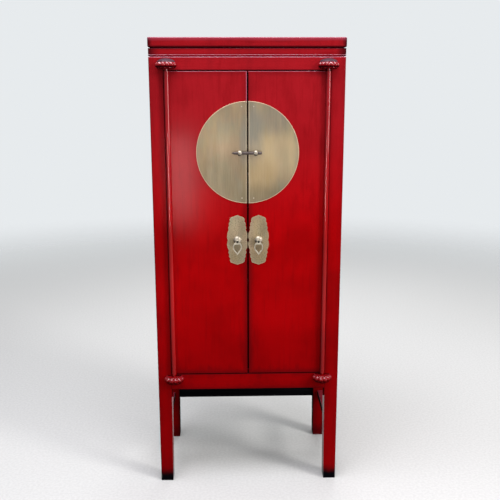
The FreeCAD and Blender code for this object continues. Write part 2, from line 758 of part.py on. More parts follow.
# Lock eye: a bored lug on the round plate, its tang driven into the door
def lock_eye(side, sign):
    body = new_body(f"{side}_lock_eye", f"{sign} * eye_offset",
                    f"{FRONT} - plate_thickness", MOON_LEVEL)
    box(body, "neck", ("-eye_width / 2", "eye_width"), ("-eye_reach", "eye_reach"),
        ("-eye_neck_height / 2", "eye_neck_height"))
    add(body, "AdditiveCylinder", "lug", Y_AXIS, 90, x="-eye_width / 2", y="-eye_reach",
        Radius="eye_radius", Height="eye_width")
    add(body, "AdditiveCylinder", "tang", X_AXIS, -90,
        Radius="tang_radius", Height="plate_thickness + tang_length")
    add(body, "SubtractiveCylinder", "bore", Y_AXIS, 90,
        x="-eye_width / 2 - cut_overrun", y="-eye_reach",
        Radius="eye_bore_radius", Height="eye_width + 2 * cut_overrun")


# Scalloped handle plate: one quarter of its edge, mirrored across and upside down
def handle_plate(side, sign):
    body = new_body(f"{side}_handle_plate", f"{sign} * {HANDLE_X}", FRONT, HANDLE_LEVEL)
    quarters = [
        from_shares(HANDLE_EDGE_SHARES, f"{across} * handle_plate_width / 2",
                    f"{up} * handle_plate_height / 2")
        for across, up in ((1, 1), (1, -1), (-1, -1), (-1, 1))
    ]
    edge = quarters[0] + backwards(quarters[1])[1:]
    edge += quarters[2][1:] + backwards(quarters[3])[1:]
    pad(body, trace(body, "edge", "XZ_Plane", [edge]), "plate_thickness")
    hole = bore(body, "boss_hole", 0, 0, "tang_radius + tang_fit",
                "plate_thickness + 2 * cut_overrun")
    bind(hole, y="-plate_thickness - cut_overrun")


# Boss on the handle plate: a dome, the staple that the pull hangs from, and a tang
def pull_boss(side, sign):
    body = new_body(
        f"{side}_pull_boss", f"{sign} * {HANDLE_X}", f"{FRONT} - plate_thickness",
        HANDLE_LEVEL, X_AXIS, 90,
    )
    section = trace(body, "dome", "XZ_Plane", [[
        (0, 0),
        ("boss_radius", 0),
        ("boss_radius * cos(45 deg)", "boss_height * sin(45 deg)", 0, "boss_height"),
    ]])
    dome = body.newObject("PartDesign::Revolution", f"{side}_pull_boss_turned")
    dome.Profile = section
    dome.ReferenceAxis = (section, ["V_Axis"])
    add(body, "AdditiveTorus", "staple", Y_AXIS, 90, z="staple_reach",
        Radius1="staple_radius", Radius2="staple_wire_radius")
    add(body, "AdditiveCylinder", "tang", z="-plate_thickness - tang_length",
        Radius="tang_radius", Height="plate_thickness + tang_length")


# Ring pull: a flat leaf with an eye for the staple and a window for a fingertip
def ring_pull(side, sign):
    body = new_body(f"{side}_ring_pull", f"{sign} * {HANDLE_X}",
                    f"{SWING_Y} + pull_thickness / 2", HANDLE_LEVEL)

    def leaf(table):
        halves = [
            from_shares(table, f"{across} * pull_width / 2", "pull_height", "pull_rise")
            for across in (1, -1)
        ]
        return halves[0] + backwards(halves[1])[1:]

    eye = [
        ("-pull_eye_radius", "-pull_eye_drop"),
        (0, "pull_eye_radius - pull_eye_drop", "pull_eye_radius", "-pull_eye_drop"),
        (0, "-pull_eye_radius - pull_eye_drop", "-pull_eye_radius", "-pull_eye_drop"),
    ]
    outlines = [leaf(PULL_EDGE_SHARES), leaf(PULL_WINDOW_SHARES), eye]
    pad(body, trace(body, "leaf", "XZ_Plane", outlines), "pull_thickness")


# Lock pin: a rod with tapered ends through both lock eyes
def lock_pin():
    body = new_body("lock_pin", "-pin_left_reach", EYE_Y, MOON_LEVEL, Y_AXIS, 90)
    length = "(pin_left_reach + pin_right_reach)"
    add(body, "AdditiveCone", "left_end", Radius1="pin_left_tip_radius",
        Radius2="pin_radius", Height="pin_left_taper")
    add(body, "AdditiveCylinder", "rod", z="pin_left_taper", Radius="pin_radius",
        Height=f"{length} - pin_left_taper - pin_right_taper")
    add(body, "AdditiveCone", "right_end", z=f"{length} - pin_right_taper",
        Radius1="pin_radius", Radius2="pin_right_tip_radius", Height="pin_right_taper")


for side, sign in SIDES.items():
    door(side, sign)
    moon_plate(side, sign)
    lock_eye(side, sign)
    handle_plate(side, sign)
    pull_boss(side, sign)
    ring_pull(side, sign)
lock_pin()

doc.recompute()
for item in doc.Objects:
    if "Invalid" in item.State or "Error" in item.State:
        raise RuntimeError(f"{item.Label} failed to build: {item.State}")

os.makedirs("parts", exist_ok=True)
for piece in pieces:
    shape = piece.Shape
    if shape.isNull() or not shape.isValid() or not shape.Solids:
        raise RuntimeError(f"{piece.Label} has no valid solid")
    shape.exportStep(f"parts/{piece.Label}.step")
    print(f"{piece.Label}: {len(shape.Solids)} solid, {shape.Volume / 1000:.1f} cm3")
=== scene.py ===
import json
from cmath import phase, rect
from math import asin, cos, exp, pi, radians, sin, sqrt

import bmesh
import bpy
from mathutils import Euler, Matrix, Vector, noise


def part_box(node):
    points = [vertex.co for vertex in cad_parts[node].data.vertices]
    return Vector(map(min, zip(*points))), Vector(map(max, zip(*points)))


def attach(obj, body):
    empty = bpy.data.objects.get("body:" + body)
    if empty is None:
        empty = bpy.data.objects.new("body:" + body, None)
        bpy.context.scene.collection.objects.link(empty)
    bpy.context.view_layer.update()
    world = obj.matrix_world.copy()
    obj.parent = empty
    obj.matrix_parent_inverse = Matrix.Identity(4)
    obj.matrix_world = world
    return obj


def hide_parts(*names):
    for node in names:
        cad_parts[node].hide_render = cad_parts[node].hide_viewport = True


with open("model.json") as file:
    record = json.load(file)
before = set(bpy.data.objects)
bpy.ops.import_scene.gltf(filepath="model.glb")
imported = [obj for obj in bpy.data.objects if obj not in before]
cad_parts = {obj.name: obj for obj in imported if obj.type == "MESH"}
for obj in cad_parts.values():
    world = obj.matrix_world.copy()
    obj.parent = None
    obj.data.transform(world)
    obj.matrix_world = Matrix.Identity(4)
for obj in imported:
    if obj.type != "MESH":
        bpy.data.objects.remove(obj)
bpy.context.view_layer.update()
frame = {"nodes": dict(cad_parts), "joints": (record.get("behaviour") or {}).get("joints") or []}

# Finish of a red wedding cabinet: rubbed lacquer, carved door sockets and brass fittings.
# Everything is in metres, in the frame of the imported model: X right, Y back, Z up.

SIDES = {"left": -1, "right": 1}
MILLIMETRE = 0.001
SAME_POINT = 1e-6
NO_LENGTH = 1e-7

# Shares of the handle plate's half width and half height, from its top tip to the notch at
# half height, and of the ring pull's half width and height, from its eye down to its tip.
# Four numbers are an arc through the first pair to the second, two are a straight run.
HANDLE_EDGE_SHARES = [
    (0, 1), (0.56, 0.92), (0.70, 0.86, 0.68, 0.745), (0.815, 0.665, 0.765, 0.575),
    (0.88, 0.495, 0.81, 0.42), (1, 0.19, 0.92, 0),
]
PULL_EDGE_SHARES = [
    (0, 0), (0.2, -0.006, 0.3, -0.045), (0.48, -0.15), (1, -0.43, 0.7, -0.73), (0, -1),
]
PULL_WINDOW_SHARES = [(0, -0.3), (0.56, -0.3), (0.74, -0.45, 0.45, -0.68), (0, -0.85)]


def middle(low, high):
    """Point halfway between two corners."""
    return (low + high) / 2


def joint_place(name):
    """A point on the axis of a joint."""
    return Vector(next(joint["pos_m"] for joint in frame["joints"] if joint["name"] == name))


def add_object(name, data):
    """A new object in the scene."""
    made = bpy.data.objects.new(name, data)
    bpy.context.scene.collection.objects.link(made)
    return made


def blend_step(value, start, end):
    """Smooth step from 0 at start to 1 at end."""
    share = min(max((value - start) / (end - start), 0.0), 1.0)
    return share * share * (3 - 2 * share)


def quarter_turn(steps):
    """Sine and cosine of equal steps from 0 to a right angle."""
    return [(sin(pi / 2 * step / steps), cos(pi / 2 * step / steps)) for step in range(steps + 1)]


def circle(steps):
    """Points of a circle of radius 1."""
    return [(cos(2 * pi * step / steps), sin(2 * pi * step / steps)) for step in range(steps)]


# Meshes
def skin(rows, around=False):
    """Quads between rows of points, and the flat list of those points."""
    width = len(rows[0])
    faces = []
    for row in range(len(rows) - 1):
        for column in range(width if around else width - 1):
            following = (column + 1) % width
            start = row * width
            faces.append((
                start + column, start + following,
                start + width + following, start + width + column,
            ))
    return [point for row in rows for point in row], faces


def make_piece(name, parts, body, replaced, sharp=40, rim_sheen=None):
    """One object from several (points, faces) parts, riding on a body for CAD nodes."""
    mesh = bpy.data.meshes.new(name)
    shape = bmesh.new()
    for points, faces in parts:
        corners = [shape.verts.new(point) for point in points]
        for face in faces:
            shape.faces.new([corners[index] for index in face])
    bmesh.ops.remove_doubles(shape, verts=shape.verts, dist=SAME_POINT)
    bmesh.ops.dissolve_degenerate(shape, edges=shape.edges, dist=NO_LENGTH)
    bmesh.ops.recalc_face_normals(shape, faces=shape.faces)
    shape.to_mesh(mesh)
    shape.free()
    piece = add_object(name, mesh)
    for face in mesh.polygons:
        face.use_smooth = True
    mesh.set_sharp_from_angle(angle=radians(sharp))
    # A mask of painted highlight on a rolled rim
    if rim_sheen:
        mask = mesh.attributes.new("rim_sheen", "FLOAT", "POINT")
        for index, vertex in enumerate(mesh.vertices):
            mask.data[index].value = rim_sheen(vertex.co)
    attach(piece, body)
    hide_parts(*replaced)
    return piece


def lathe(profile, place, turns=48):
    """A turned part: profile holds (distance along the axis, radius) pairs."""
    rows = [
        [place(along, radius * u, radius * v) for u, v in circle(turns)] for along, radius in profile
    ]
    return skin(rows, around=True)


def along_x(centre):
    """Place of a turned part whose axis runs to the right."""
    return lambda along, u, v: centre + Vector((along, u, v))


def up_from(centre):
    """Place of a turned part whose axis points up."""
    return lambda along, u, v: Vector((centre.x + u, centre.y + v, centre.z + along))


def towards_front(centre):
    """Place of a turned part whose axis points out of the doors."""
    return lambda along, u, v: centre + Vector((u, -along, v))


def ring(centre, radius, wire, turns=40, sides=16):
    """A round wire ring that stands in the plane of Y and Z."""
    rows = [
        [centre + Vector((wire * u, (radius + wire * v) * y, (radius + wire * v) * z))
         for u, v in circle(sides)]
        for y, z in circle(turns) + [(1.0, 0.0)]
    ]
    return skin(rows, around=True)


def arc(start, through, end, steps=12):
    """Points of the circle that passes three points, without the first."""
    start, through, end = (complex(*point) for point in (start, through, end))
    slant = (end - start) / (through - start)
    centre = start + (through - start) * (slant - abs(slant) ** 2) / (2j * slant.imag)
    first, mid, last = (phase(point - centre) for point in (start, through, end))
    span = (last - first) % (2 * pi)
    if (mid - first) % (2 * pi) > span:
        span -= 2 * pi
    radius = abs(start - centre)
    points = [centre + rect(radius, first + span * step / steps) for step in range(1, steps + 1)]
    return [(point.real, point.imag) for point in points]


def from_shares(table, across, up, lift=0.0):
    """Points of an outline given in shares of a width and a height."""
    points = [(table[0][0] * across, table[0][1] * up + lift)]
    for step in table[1:]:
        pairs = [
            (step[index] * across, step[index + 1] * up + lift) for index in range(0, len(step), 2)
        ]
        if len(pairs) == 2:
            points += arc(points[-1], *pairs)
        else:
            start, end = points[-1], pairs[0]
            for share in (0.25, 0.5, 0.75, 1.0):
                points.append((
                    start[0] + share * (end[0] - start[0]), start[1] + share * (end[1] - start[1]),
                ))
    return points


def mirrored(half):
    """A closed outline from its right half, which starts and ends on the middle line."""
    return half + [(-x, y) for x, y in reversed(half[1:-1])]


def flat_plate(outlines, thickness, bevel, centre):
    """Points and faces of an upright plate with rounded edges, parallel to the doors."""
    curve = bpy.data.curves.new("outline", "CURVE")
    curve.dimensions = "2D"
    curve.fill_mode = "BOTH"
    curve.extrude = thickness / 2 - bevel
    curve.bevel_depth = bevel
    curve.bevel_resolution = 3
    curve.offset = -bevel
    for outline in outlines:
        line = curve.splines.new("POLY")
        line.points.add(len(outline) - 1)
        for point, (x, y) in zip(line.points, outline):
            point.co = (x, y, 0, 1)
        line.use_cyclic_u = True
    holder = add_object("outline", curve)
    mesh = bpy.data.meshes.new_from_object(holder.evaluated_get(bpy.context.evaluated_depsgraph_get()))
    points = [
        centre + Vector((vertex.co.x, -vertex.co.z, vertex.co.y)) for vertex in mesh.vertices
    ]
    faces = [tuple(face.vertices) for face in mesh.polygons]
    bpy.data.objects.remove(holder)
    bpy.data.curves.remove(curve)
    bpy.data.meshes.remove(mesh)
    return points, faces


# Carved socket: half a dome over a ring of lobed petals, with a dish where the post enters
SOCKET_WALL = 0.003
SOCKET_PETALS = 6
PETAL_RING = 0.031
PETAL_CROWN = 0.011
PETAL_HEIGHT = 0.0135
CORE_RADIUS = 0.033
DOME_RADIUS = 0.0345
SHOULDER_HEIGHT = 0.023
DOME_RISE = 0.0150
DISH_RADIUS = 0.029
DISH_DEPTH = 0.003
SOCKET_RIM = 0.0014
CARVED_LINE_DEPTH = 0.0007
CARVED_LINE_WIDTH = 0.0012
CARVED_LINE_START = (0.002, 0.008)
CARVED_LINE_END = (0.003, 0.008)
CARVING_BLEND = 0.0010
SOCKET_COLUMNS = 96
RIM_STEPS = 5
PETAL_STEPS = 30
DOME_STEPS = 12

# The dish from its middle to the rim, in shares of its radius and its depth
DISH_SHARES = [(0.0, 1.0), (0.5, 1.0), (0.93, 1.0), (1.0, 0.6), (1.02, 0.15), (1.06, 0.0)]


def socket_radius(angle, level):
    """Distance of the carved surface from the post's axis, at an angle and a level."""
    pitch = pi / SOCKET_PETALS
    off_centre = (angle % pitch) - pitch / 2
    lobe = sqrt(max(PETAL_CROWN ** 2 - (level - PETAL_HEIGHT) ** 2, 0.0))
    reach = lobe ** 2 - (PETAL_RING * sin(off_centre)) ** 2
    petal = PETAL_RING * cos(off_centre) + sqrt(reach) if reach > 0 else 0.0
    if level < SHOULDER_HEIGHT:
        dome = CORE_RADIUS + (DOME_RADIUS - CORE_RADIUS) * level / SHOULDER_HEIGHT
    else:
        dome = DOME_RADIUS * sqrt(max(1 - ((level - SHOULDER_HEIGHT) / DOME_RISE) ** 2, 0.0))
    high, low = max(petal, dome), min(petal, dome)
    radius = high + CARVING_BLEND * exp((low - high) / CARVING_BLEND) * 0.5
    vein = abs(PETAL_RING * off_centre)
    groove = exp(-(vein / CARVED_LINE_WIDTH) ** 2) * blend_step(level, *CARVED_LINE_START)
    fade = 1 - blend_step(level - PETAL_HEIGHT, *CARVED_LINE_END)
    return radius - CARVED_LINE_DEPTH * groove * fade


def carved_socket(name, rises):
    """A socket whose carving rises from the dish: 1 for upwards, -1 for downwards."""
    low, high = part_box(name)
    axis_x = middle(low, high).x
    wall_y = high.y
    start = low.z if rises > 0 else high.z

    def point(angle, radius, level):
        return Vector((
            axis_x + radius * cos(angle), wall_y - SOCKET_WALL - radius * sin(angle),
            start + rises * level,
        ))

    def row(radius_at, level):
        """From the wall on the right, round the front, to the wall on the left."""
        angles = [pi * column / SOCKET_COLUMNS for column in range(SOCKET_COLUMNS + 1)]
        points = [point(angle, radius_at(angle), level) for angle in angles]
        right, left = points[0].copy(), points[-1].copy()
        right.y = left.y = wall_y
        return [right] + points + [left]

    rows = [
        row(lambda angle: across * DISH_RADIUS, deep * DISH_DEPTH) for across, deep in DISH_SHARES
    ]
    for out, down in quarter_turn(RIM_STEPS):
        inset = SOCKET_RIM * (1 - out)
        level = SOCKET_RIM * (1 - down)
        rows.append(row(lambda angle: socket_radius(angle, SOCKET_RIM) - inset, level))
    petals_top = PETAL_HEIGHT + PETAL_CROWN
    levels = [
        SOCKET_RIM + (petals_top - SOCKET_RIM) * step / PETAL_STEPS
        for step in range(1, PETAL_STEPS + 1)
    ]
    lean = asin((petals_top - SHOULDER_HEIGHT) / DOME_RISE)
    for step in range(1, DOME_STEPS + 1):
        rise = sin(lean + (pi / 2 - lean) * step / DOME_STEPS)
        levels.append(SHOULDER_HEIGHT + DOME_RISE * rise)
    for level in levels[:-1]:
        rows.append(row(lambda angle: socket_radius(angle, level), level))
    rows.append(row(lambda angle: 0.0, levels[-1]))
    points, faces = skin(rows)
    width = len(rows[0])
    for right in range(0, (len(rows) - 1) * width, width):
        left = right + width - 1
        faces.append((left, left + width, right + width, right))
    return make_piece(f"carved_{name}", [(points, faces)], "cabinet", [name], 60)


# Door post: a rod with a flat back, planed by hand, between turned pivots
POST_SIDES = 28
POST_RINGS = 90
HAND_PLANED = 0.00018
PLANE_MARKS = 9
PIVOT_RADIUS = 0.0065
PIVOT_SIDES = 24


def door_post(side, sign):
    name = f"{side}_door_post"
    low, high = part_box(name)
    door_low, door_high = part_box(f"{side}_door_panel")
    hinge = joint_place(f"{side}_door_hinge")
    centre = Vector((hinge.x, hinge.y, 0.0))
    radius = (high.x - low.x) / 2
    half_flat = asin((high.y - centre.y) / radius)
    rows = []
    for step in range(POST_RINGS + 1):
        level = door_low.z + (door_high.z - door_low.z) * step / POST_RINGS
        points = []
        for number in range(POST_SIDES + 1):
            angle = half_flat - (pi + 2 * half_flat) * number / POST_SIDES
            uneven = noise.noise(Vector((cos(angle), sin(angle) + sign, level * PLANE_MARKS)))
            reach = radius + HAND_PLANED * (uneven - 1) * (0 < number < POST_SIDES)
            points.append(centre + Vector((reach * cos(angle), reach * sin(angle), level)))
        rows.append(points)
    shaft = skin(rows, around=True)
    pivots = []
    for start, end in ((low.z, door_low.z), (door_high.z, high.z)):
        profile = [(start, 0.0), (start, PIVOT_RADIUS), (end, PIVOT_RADIUS), (end, 0.0)]
        pivots.append(lathe(profile, up_from(centre), PIVOT_SIDES))
    caps = [(end_row, [tuple(range(len(end_row)))]) for end_row in (rows[0], rows[-1])]
    return make_piece(
        f"planed_{name}", [shaft] + caps + pivots, f"{side}_door", [name], 50,
    )


# Round plate: half a disc with a rounded edge
PLATE_BEVEL = 0.0008
PLATE_STEPS = 120


def moon_plate(side, sign):
    name = f"{side}_moon_plate"
    low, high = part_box(name)
    radius = (high.z - low.z) / 2
    centre = Vector((high.x if sign < 0 else low.x, middle(low, high).y, middle(low, high).z))
    top, side_point, bottom = (0.0, radius), (sign * radius, 0.0), (0.0, -radius)
    outline = [top] + arc(top, side_point, bottom, PLATE_STEPS)
    part = flat_plate([outline], high.y - low.y, PLATE_BEVEL, centre)
    return make_piece(f"brushed_{name}", [part], f"{side}_door", [name])


# Nails: a low dome on each, its shank hidden in the door
SHANK_SHARE = 0.42
NAIL_STEPS, NAIL_SIDES = 8, 24


def plate_nails(side):
    name = f"{side}_plate_nails"
    low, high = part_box(name)
    plate_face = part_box(f"{side}_moon_plate")[0].y
    head_radius = (high.x - low.x) / 2
    head_height = plate_face - low.y
    shank_radius = SHANK_SHARE * head_radius
    tip = plate_face - high.y
    profile = [(tip, 0.0), (tip, shank_radius), (0.0, shank_radius)]
    profile += [(head_height * up, head_radius * out) for up, out in quarter_turn(NAIL_STEPS)]
    x = middle(low, high).x
    nails = [
        lathe(profile, towards_front(Vector((x, plate_face, level))), NAIL_SIDES)
        for level in (low.z + head_radius, high.z - head_radius)
    ]
    return make_piece(f"domed_{name}", nails, f"{side}_door", [name])


# Lock eye: a rounded bead around the pin, on a neck that flares onto the plate
EYE_BORE = 0.0061
EYE_EDGE = 0.0030
BORE_EDGE = 0.0006
BEAD_STEPS, BEAD_SIDES = 6, 56
NECK_STEPS, NECK_SIDES = 10, 32

# The neck in shares of the bead's width, of its own width at the plate, and of its reach
NECK_WIDTH_SHARE = 0.42
NECK_HEIGHT_SHARE = 0.30
NECK_FLARE_SHARE = 0.55
NECK_START_SHARE = 0.6


def lock_eye(side):
    name = f"{side}_lock_eye"
    low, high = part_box(name)
    plate_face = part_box(f"{side}_moon_plate")[0].y
    lug_radius = (high.z - low.z) / 2
    width = high.x - low.x
    centre = Vector((middle(low, high).x, low.y + lug_radius, middle(low, high).z))
    half = width / 2
    outer = [
        (half - EYE_EDGE * (1 - along), lug_radius - EYE_EDGE * (1 - out))
        for along, out in quarter_turn(BEAD_STEPS)
    ]
    bulge = [(-along, radius) for along, radius in reversed(outer)] + outer
    bore = [
        (half, EYE_BORE + BORE_EDGE), (half - BORE_EDGE, EYE_BORE),
        (-half + BORE_EDGE, EYE_BORE), (-half, EYE_BORE + BORE_EDGE),
    ]
    bead = lathe(bulge + bore + [bulge[0]], along_x(centre), BEAD_SIDES)
    rows = []
    reach = plate_face - centre.y
    for step in range(NECK_STEPS + 1):
        share = step / NECK_STEPS
        flare = width * (1 + NECK_FLARE_SHARE * share ** 4)
        depth = reach * (NECK_START_SHARE + (1 - NECK_START_SHARE) * share)
        rows.append([
            centre + Vector((NECK_WIDTH_SHARE * flare * x, depth, NECK_HEIGHT_SHARE * flare * z))
            for x, z in circle(NECK_SIDES)
        ])
    neck_points, neck_faces = skin(rows, around=True)
    neck_faces.append(tuple(range(NECK_SIDES)))
    neck_faces.append(tuple(range(len(neck_points) - NECK_SIDES, len(neck_points))))
    parts = [bead, (neck_points, neck_faces)]
    return make_piece(f"rounded_{name}", parts, f"{side}_door", [name], 50)


# Lock pin: a rod that swells a little and runs out to rounded points
PIN_LEFT_TAPER, PIN_RIGHT_TAPER = 0.026, 0.010
PIN_LEFT_TIP, PIN_RIGHT_TIP = 0.0016, 0.0036
PIN_STEPS, PIN_SIDES = 14, 40
PIN_FULLNESS = 0.9

# Width of the pin's flat ends, as shares of its tips
LEFT_END_SHARE, RIGHT_END_SHARE = 0.7, 0.8


def lock_pin():
    low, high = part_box("lock_pin")
    centre = middle(low, high)
    radius = (high.z - low.z) / 2
    profile = [(low.x, 0.0), (low.x, LEFT_END_SHARE * PIN_LEFT_TIP)]
    for step in range(1, PIN_STEPS + 1):
        share = step / PIN_STEPS
        swell = (radius - PIN_LEFT_TIP) * sin(pi / 2 * share) ** PIN_FULLNESS
        profile.append((low.x + PIN_LEFT_TAPER * share, PIN_LEFT_TIP + swell))
    for step in range(PIN_STEPS, 0, -1):
        share = step / PIN_STEPS
        swell = (radius - PIN_RIGHT_TIP) * sqrt(1 - (1 - share) ** 2)
        profile.append((high.x - PIN_RIGHT_TAPER * share, PIN_RIGHT_TIP + swell))
    profile += [(high.x, RIGHT_END_SHARE * PIN_RIGHT_TIP), (high.x, 0.0)]
    rod = lathe(profile, lambda along, u, v: Vector((along, centre.y + u, centre.z + v)), PIN_SIDES)
    return make_piece("smooth_lock_pin", [rod], "lock_pin", ["lock_pin"], 60)


# Handle plate: scalloped sheet with a rolled rim and a face that swells slightly
RIM_WIDTH = 0.0010
FACE_SWELL = 0.0008
ROLL_STEPS = 6
FACE_SHARES = (0.96, 0.9, 0.8, 0.65, 0.5, 0.35, 0.2, 0.08, 0.0)
# Strength of the painted highlight on the rim, and the reach over which it fades
RIM_SHEEN_SHARE = 0.30
SHEEN_REACH_SHARE = 0.10


def handle_plate(side):
    name = f"{side}_handle_plate"
    low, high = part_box(name)
    centre = middle(low, high)
    half_width, half_height = (high.x - low.x) / 2, (high.z - low.z) / 2
    thickness = high.y - low.y
    quarter = from_shares(HANDLE_EDGE_SHARES, half_width, half_height)
    right = quarter + [(x, -y) for x, y in reversed(quarter[:-1])]
    edge = mirrored(right)
    normals = []
    for index, (x, y) in enumerate(edge):
        before, after = edge[index - 1], edge[(index + 1) % len(edge)]
        along = Vector((after[0] - before[0], after[1] - before[1])).normalized()
        normals.append(Vector((-along.y, along.x)))
    rows = []

    def loop(inset, rise, scale=1.0):
        rows.append([
            Vector((
                centre.x + (x + normal.x * inset) * scale, high.y - rise,
                centre.z + (y + normal.y * inset) * scale,
            ))
            for (x, y), normal in zip(edge, normals)
        ])

    loop(0.0, 0.0)
    for up, out in quarter_turn(ROLL_STEPS):
        loop(RIM_WIDTH * (1 - out), thickness - RIM_WIDTH * (1 - up))
    for scale in FACE_SHARES:
        loop(RIM_WIDTH, thickness + FACE_SWELL * (1 - scale * scale), scale)
    points, faces = skin(rows, around=True)
    faces.append(tuple(range(len(edge))))

    def rim_sheen(corner):
        """Strength of the painted highlight: only on the rolled rim, which stays behind the face."""
        return RIM_SHEEN_SHARE * (1 - blend_step((low.y - corner.y) / FACE_SWELL, 0.0, SHEEN_REACH_SHARE))

    return make_piece(
        f"scalloped_{name}", [(points, faces)], f"{side}_door", [name], 45, rim_sheen,
    )


# Boss: a dome on a stepped foot, with the wire staple that carries the pull
BOSS_HEIGHT = 0.009
BOSS_FOOT = 0.0022
BOSS_STEPS, BOSS_SIDES = 14, 64
STAPLE_WIRE = 0.0013

# The foot in shares of its height and of the boss's radius, and the dome's share of that radius
FOOT_SHARES = [(-1.0, 0.0), (-1.0, 1.0), (0.4, 1.0), (0.8, 0.97), (1.0, 0.90)]
DOME_SHARE = 0.88


def pull_boss(side):
    name = f"{side}_pull_boss"
    low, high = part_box(name)
    plate_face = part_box(f"{side}_handle_plate")[0].y
    staple_centre = joint_place(f"{side}_pull_swing")
    radius = (high.x - low.x) / 2
    centre = Vector((staple_centre.x, plate_face, staple_centre.z))
    profile = [(up * BOSS_FOOT, out * radius) for up, out in FOOT_SHARES]
    for up, out in quarter_turn(BOSS_STEPS)[1:]:
        rise = (BOSS_HEIGHT - BOSS_FOOT) * up
        profile.append((BOSS_FOOT + rise, DOME_SHARE * radius * out))
    dome = lathe(profile, towards_front(centre), BOSS_SIDES)
    staple = ring(staple_centre, staple_centre.y - low.y - STAPLE_WIRE, STAPLE_WIRE)
    return make_piece(f"turned_{name}", [dome, staple], f"{side}_door", [name], 50)


# Ring pull: a leaf with rounded edges, an eye and a window
PULL_BEVEL = 0.0011
PULL_EYE = 0.0044
PULL_EYE_DROP = 0.0052
EYE_SIDES = 32


def ring_pull(side):
    name = f"{side}_ring_pull"
    low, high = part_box(name)
    swing = joint_place(f"{side}_pull_swing")
    centre = Vector((swing.x, middle(low, high).y, swing.z))
    half_width = (high.x - low.x) / 2
    height = high.z - low.z
    lift = high.z - centre.z
    edge = mirrored(from_shares(PULL_EDGE_SHARES, half_width, height, lift))
    window = mirrored(from_shares(PULL_WINDOW_SHARES, half_width, height, lift))
    eye = [(PULL_EYE * x, PULL_EYE * z - PULL_EYE_DROP) for x, z in circle(EYE_SIDES)]
    part = flat_plate([edge, window, eye], high.y - low.y, PULL_BEVEL, centre)
    return make_piece(f"rounded_{name}", [part], f"{side}_pull", [name], 50)


# Node graphs
class Graph:
    """The node tree of a material or of the surroundings, built from plain values and sockets."""

    def __init__(self, name, owners=bpy.data.materials, coordinates="Object"):
        self.owner = owners.new(name)
        self.owner.use_nodes = True
        self.tree = self.owner.node_tree
        self.tree.nodes.clear()
        self.position = self.node("TexCoord").outputs[coordinates]

    def node(self, kind, inputs=(), **settings):
        made = self.tree.nodes.new("ShaderNode" + kind)
        for setting, value in settings.items():
            setattr(made, setting, value)
        for key, value in dict(inputs).items():
            if isinstance(value, bpy.types.NodeSocket):
                self.tree.links.new(value, made.inputs[key])
            else:
                made.inputs[key].default_value = value
        return made

    def maths(self, operation, first, second=0.0, third=0.0):
        made = self.node("Math", {0: first, 1: second, 2: third}, operation=operation)
        return made.outputs[0]

    def times(self, first, second):
        return self.maths("MULTIPLY", first, second)

    def minus(self, first, second):
        return self.maths("SUBTRACT", first, second)

    def larger(self, first, second):
        return self.maths("MAXIMUM", first, second)

    def vector(self, operation, first, second=(0.0, 0.0, 0.0)):
        made = self.node("VectorMath", {0: first, 1: second}, operation=operation)
        return made.outputs["Value" if operation in ("DOT_PRODUCT", "LENGTH") else "Vector"]

    def axes(self, vector):
        return self.node("SeparateXYZ", {0: vector}).outputs

    def noise(self, scale, detail=3.0, roughness=0.5):
        """Noise over the frame; three scales, one for each axis, stretch it."""
        place = self.position
        if isinstance(scale, tuple):
            place = self.vector("MULTIPLY", place, scale)
            scale = 1.0
        made = self.node("TexNoise", {
            "Vector": place, "Scale": scale, "Detail": detail, "Roughness": roughness,
        })
        return made.outputs["Fac"]

    def between(self, value, low, high, start=0.0, end=1.0):
        """Smooth step of a value between two limits, to a new range."""
        made = self.node("MapRange", {
            "Value": value, "From Min": low, "From Max": high, "To Min": start, "To Max": end,
        }, interpolation_type="SMOOTHSTEP")
        return made.outputs["Result"]

    def ragged(self, value, noise, size):
        """A value that a noise shifts up and down, by a size in all."""
        return self.maths("MULTIPLY_ADD", noise, size, self.minus(value, size / 2))

    def faded(self, value, share):
        """A value less a share of it."""
        return self.times(value, self.minus(1.0, share))

    def mix(self, share, first, second):
        """A mix of two colours: sockets 6 and 7 of the node, with the result on 2."""
        made = self.node("Mix", {0: share, 6: first, 7: second}, data_type="RGBA")
        return made.outputs[2]

    def from_axle(self, centre):
        """Distance from a line that runs from front to back through a point."""
        offset = self.vector("SUBTRACT", self.position, tuple(centre))
        return self.vector("LENGTH", self.vector("MULTIPLY", offset, (1.0, 0.0, 1.0)))

    def seen(self):
        """1 for rays that carry a picture, straight or through a shiny or clear face, and else 0."""
        path = self.node("LightPath").outputs
        shown = self.larger(path["Is Camera Ray"], path["Is Glossy Ray"])
        return self.larger(shown, path["Is Transmission Ray"])

    def finish(self, colour, roughness, height, bump, others):
        """The material with a surface of this graph; others are more inputs of its shader."""
        relief = self.node("Bump", {"Strength": bump, "Distance": MILLIMETRE, "Height": height})
        shader = self.node("BsdfPrincipled", {
            "Base Color": colour, "Roughness": roughness, "Normal": relief.outputs["Normal"],
            **others,
        })
        self.node("OutputMaterial", {"Surface": shader.outputs["BSDF"]})
        return self.owner


def colour(red, green, blue):
    return (red, green, blue, 1.0)


FAR = 10.0
EVERY_WAY = (1, 1, 1)


def edge_distance(graph, low, high):
    """Distance of the surface from the nearest edge of a box."""
    from_low = graph.vector("SUBTRACT", graph.position, tuple(low))
    from_high = graph.vector("SUBTRACT", tuple(high), graph.position)
    x, y, z = graph.axes(graph.vector("MINIMUM", from_low, from_high))
    return graph.larger(graph.maths("MINIMUM", x, y), graph.maths("MINIMUM", graph.larger(x, y), z))


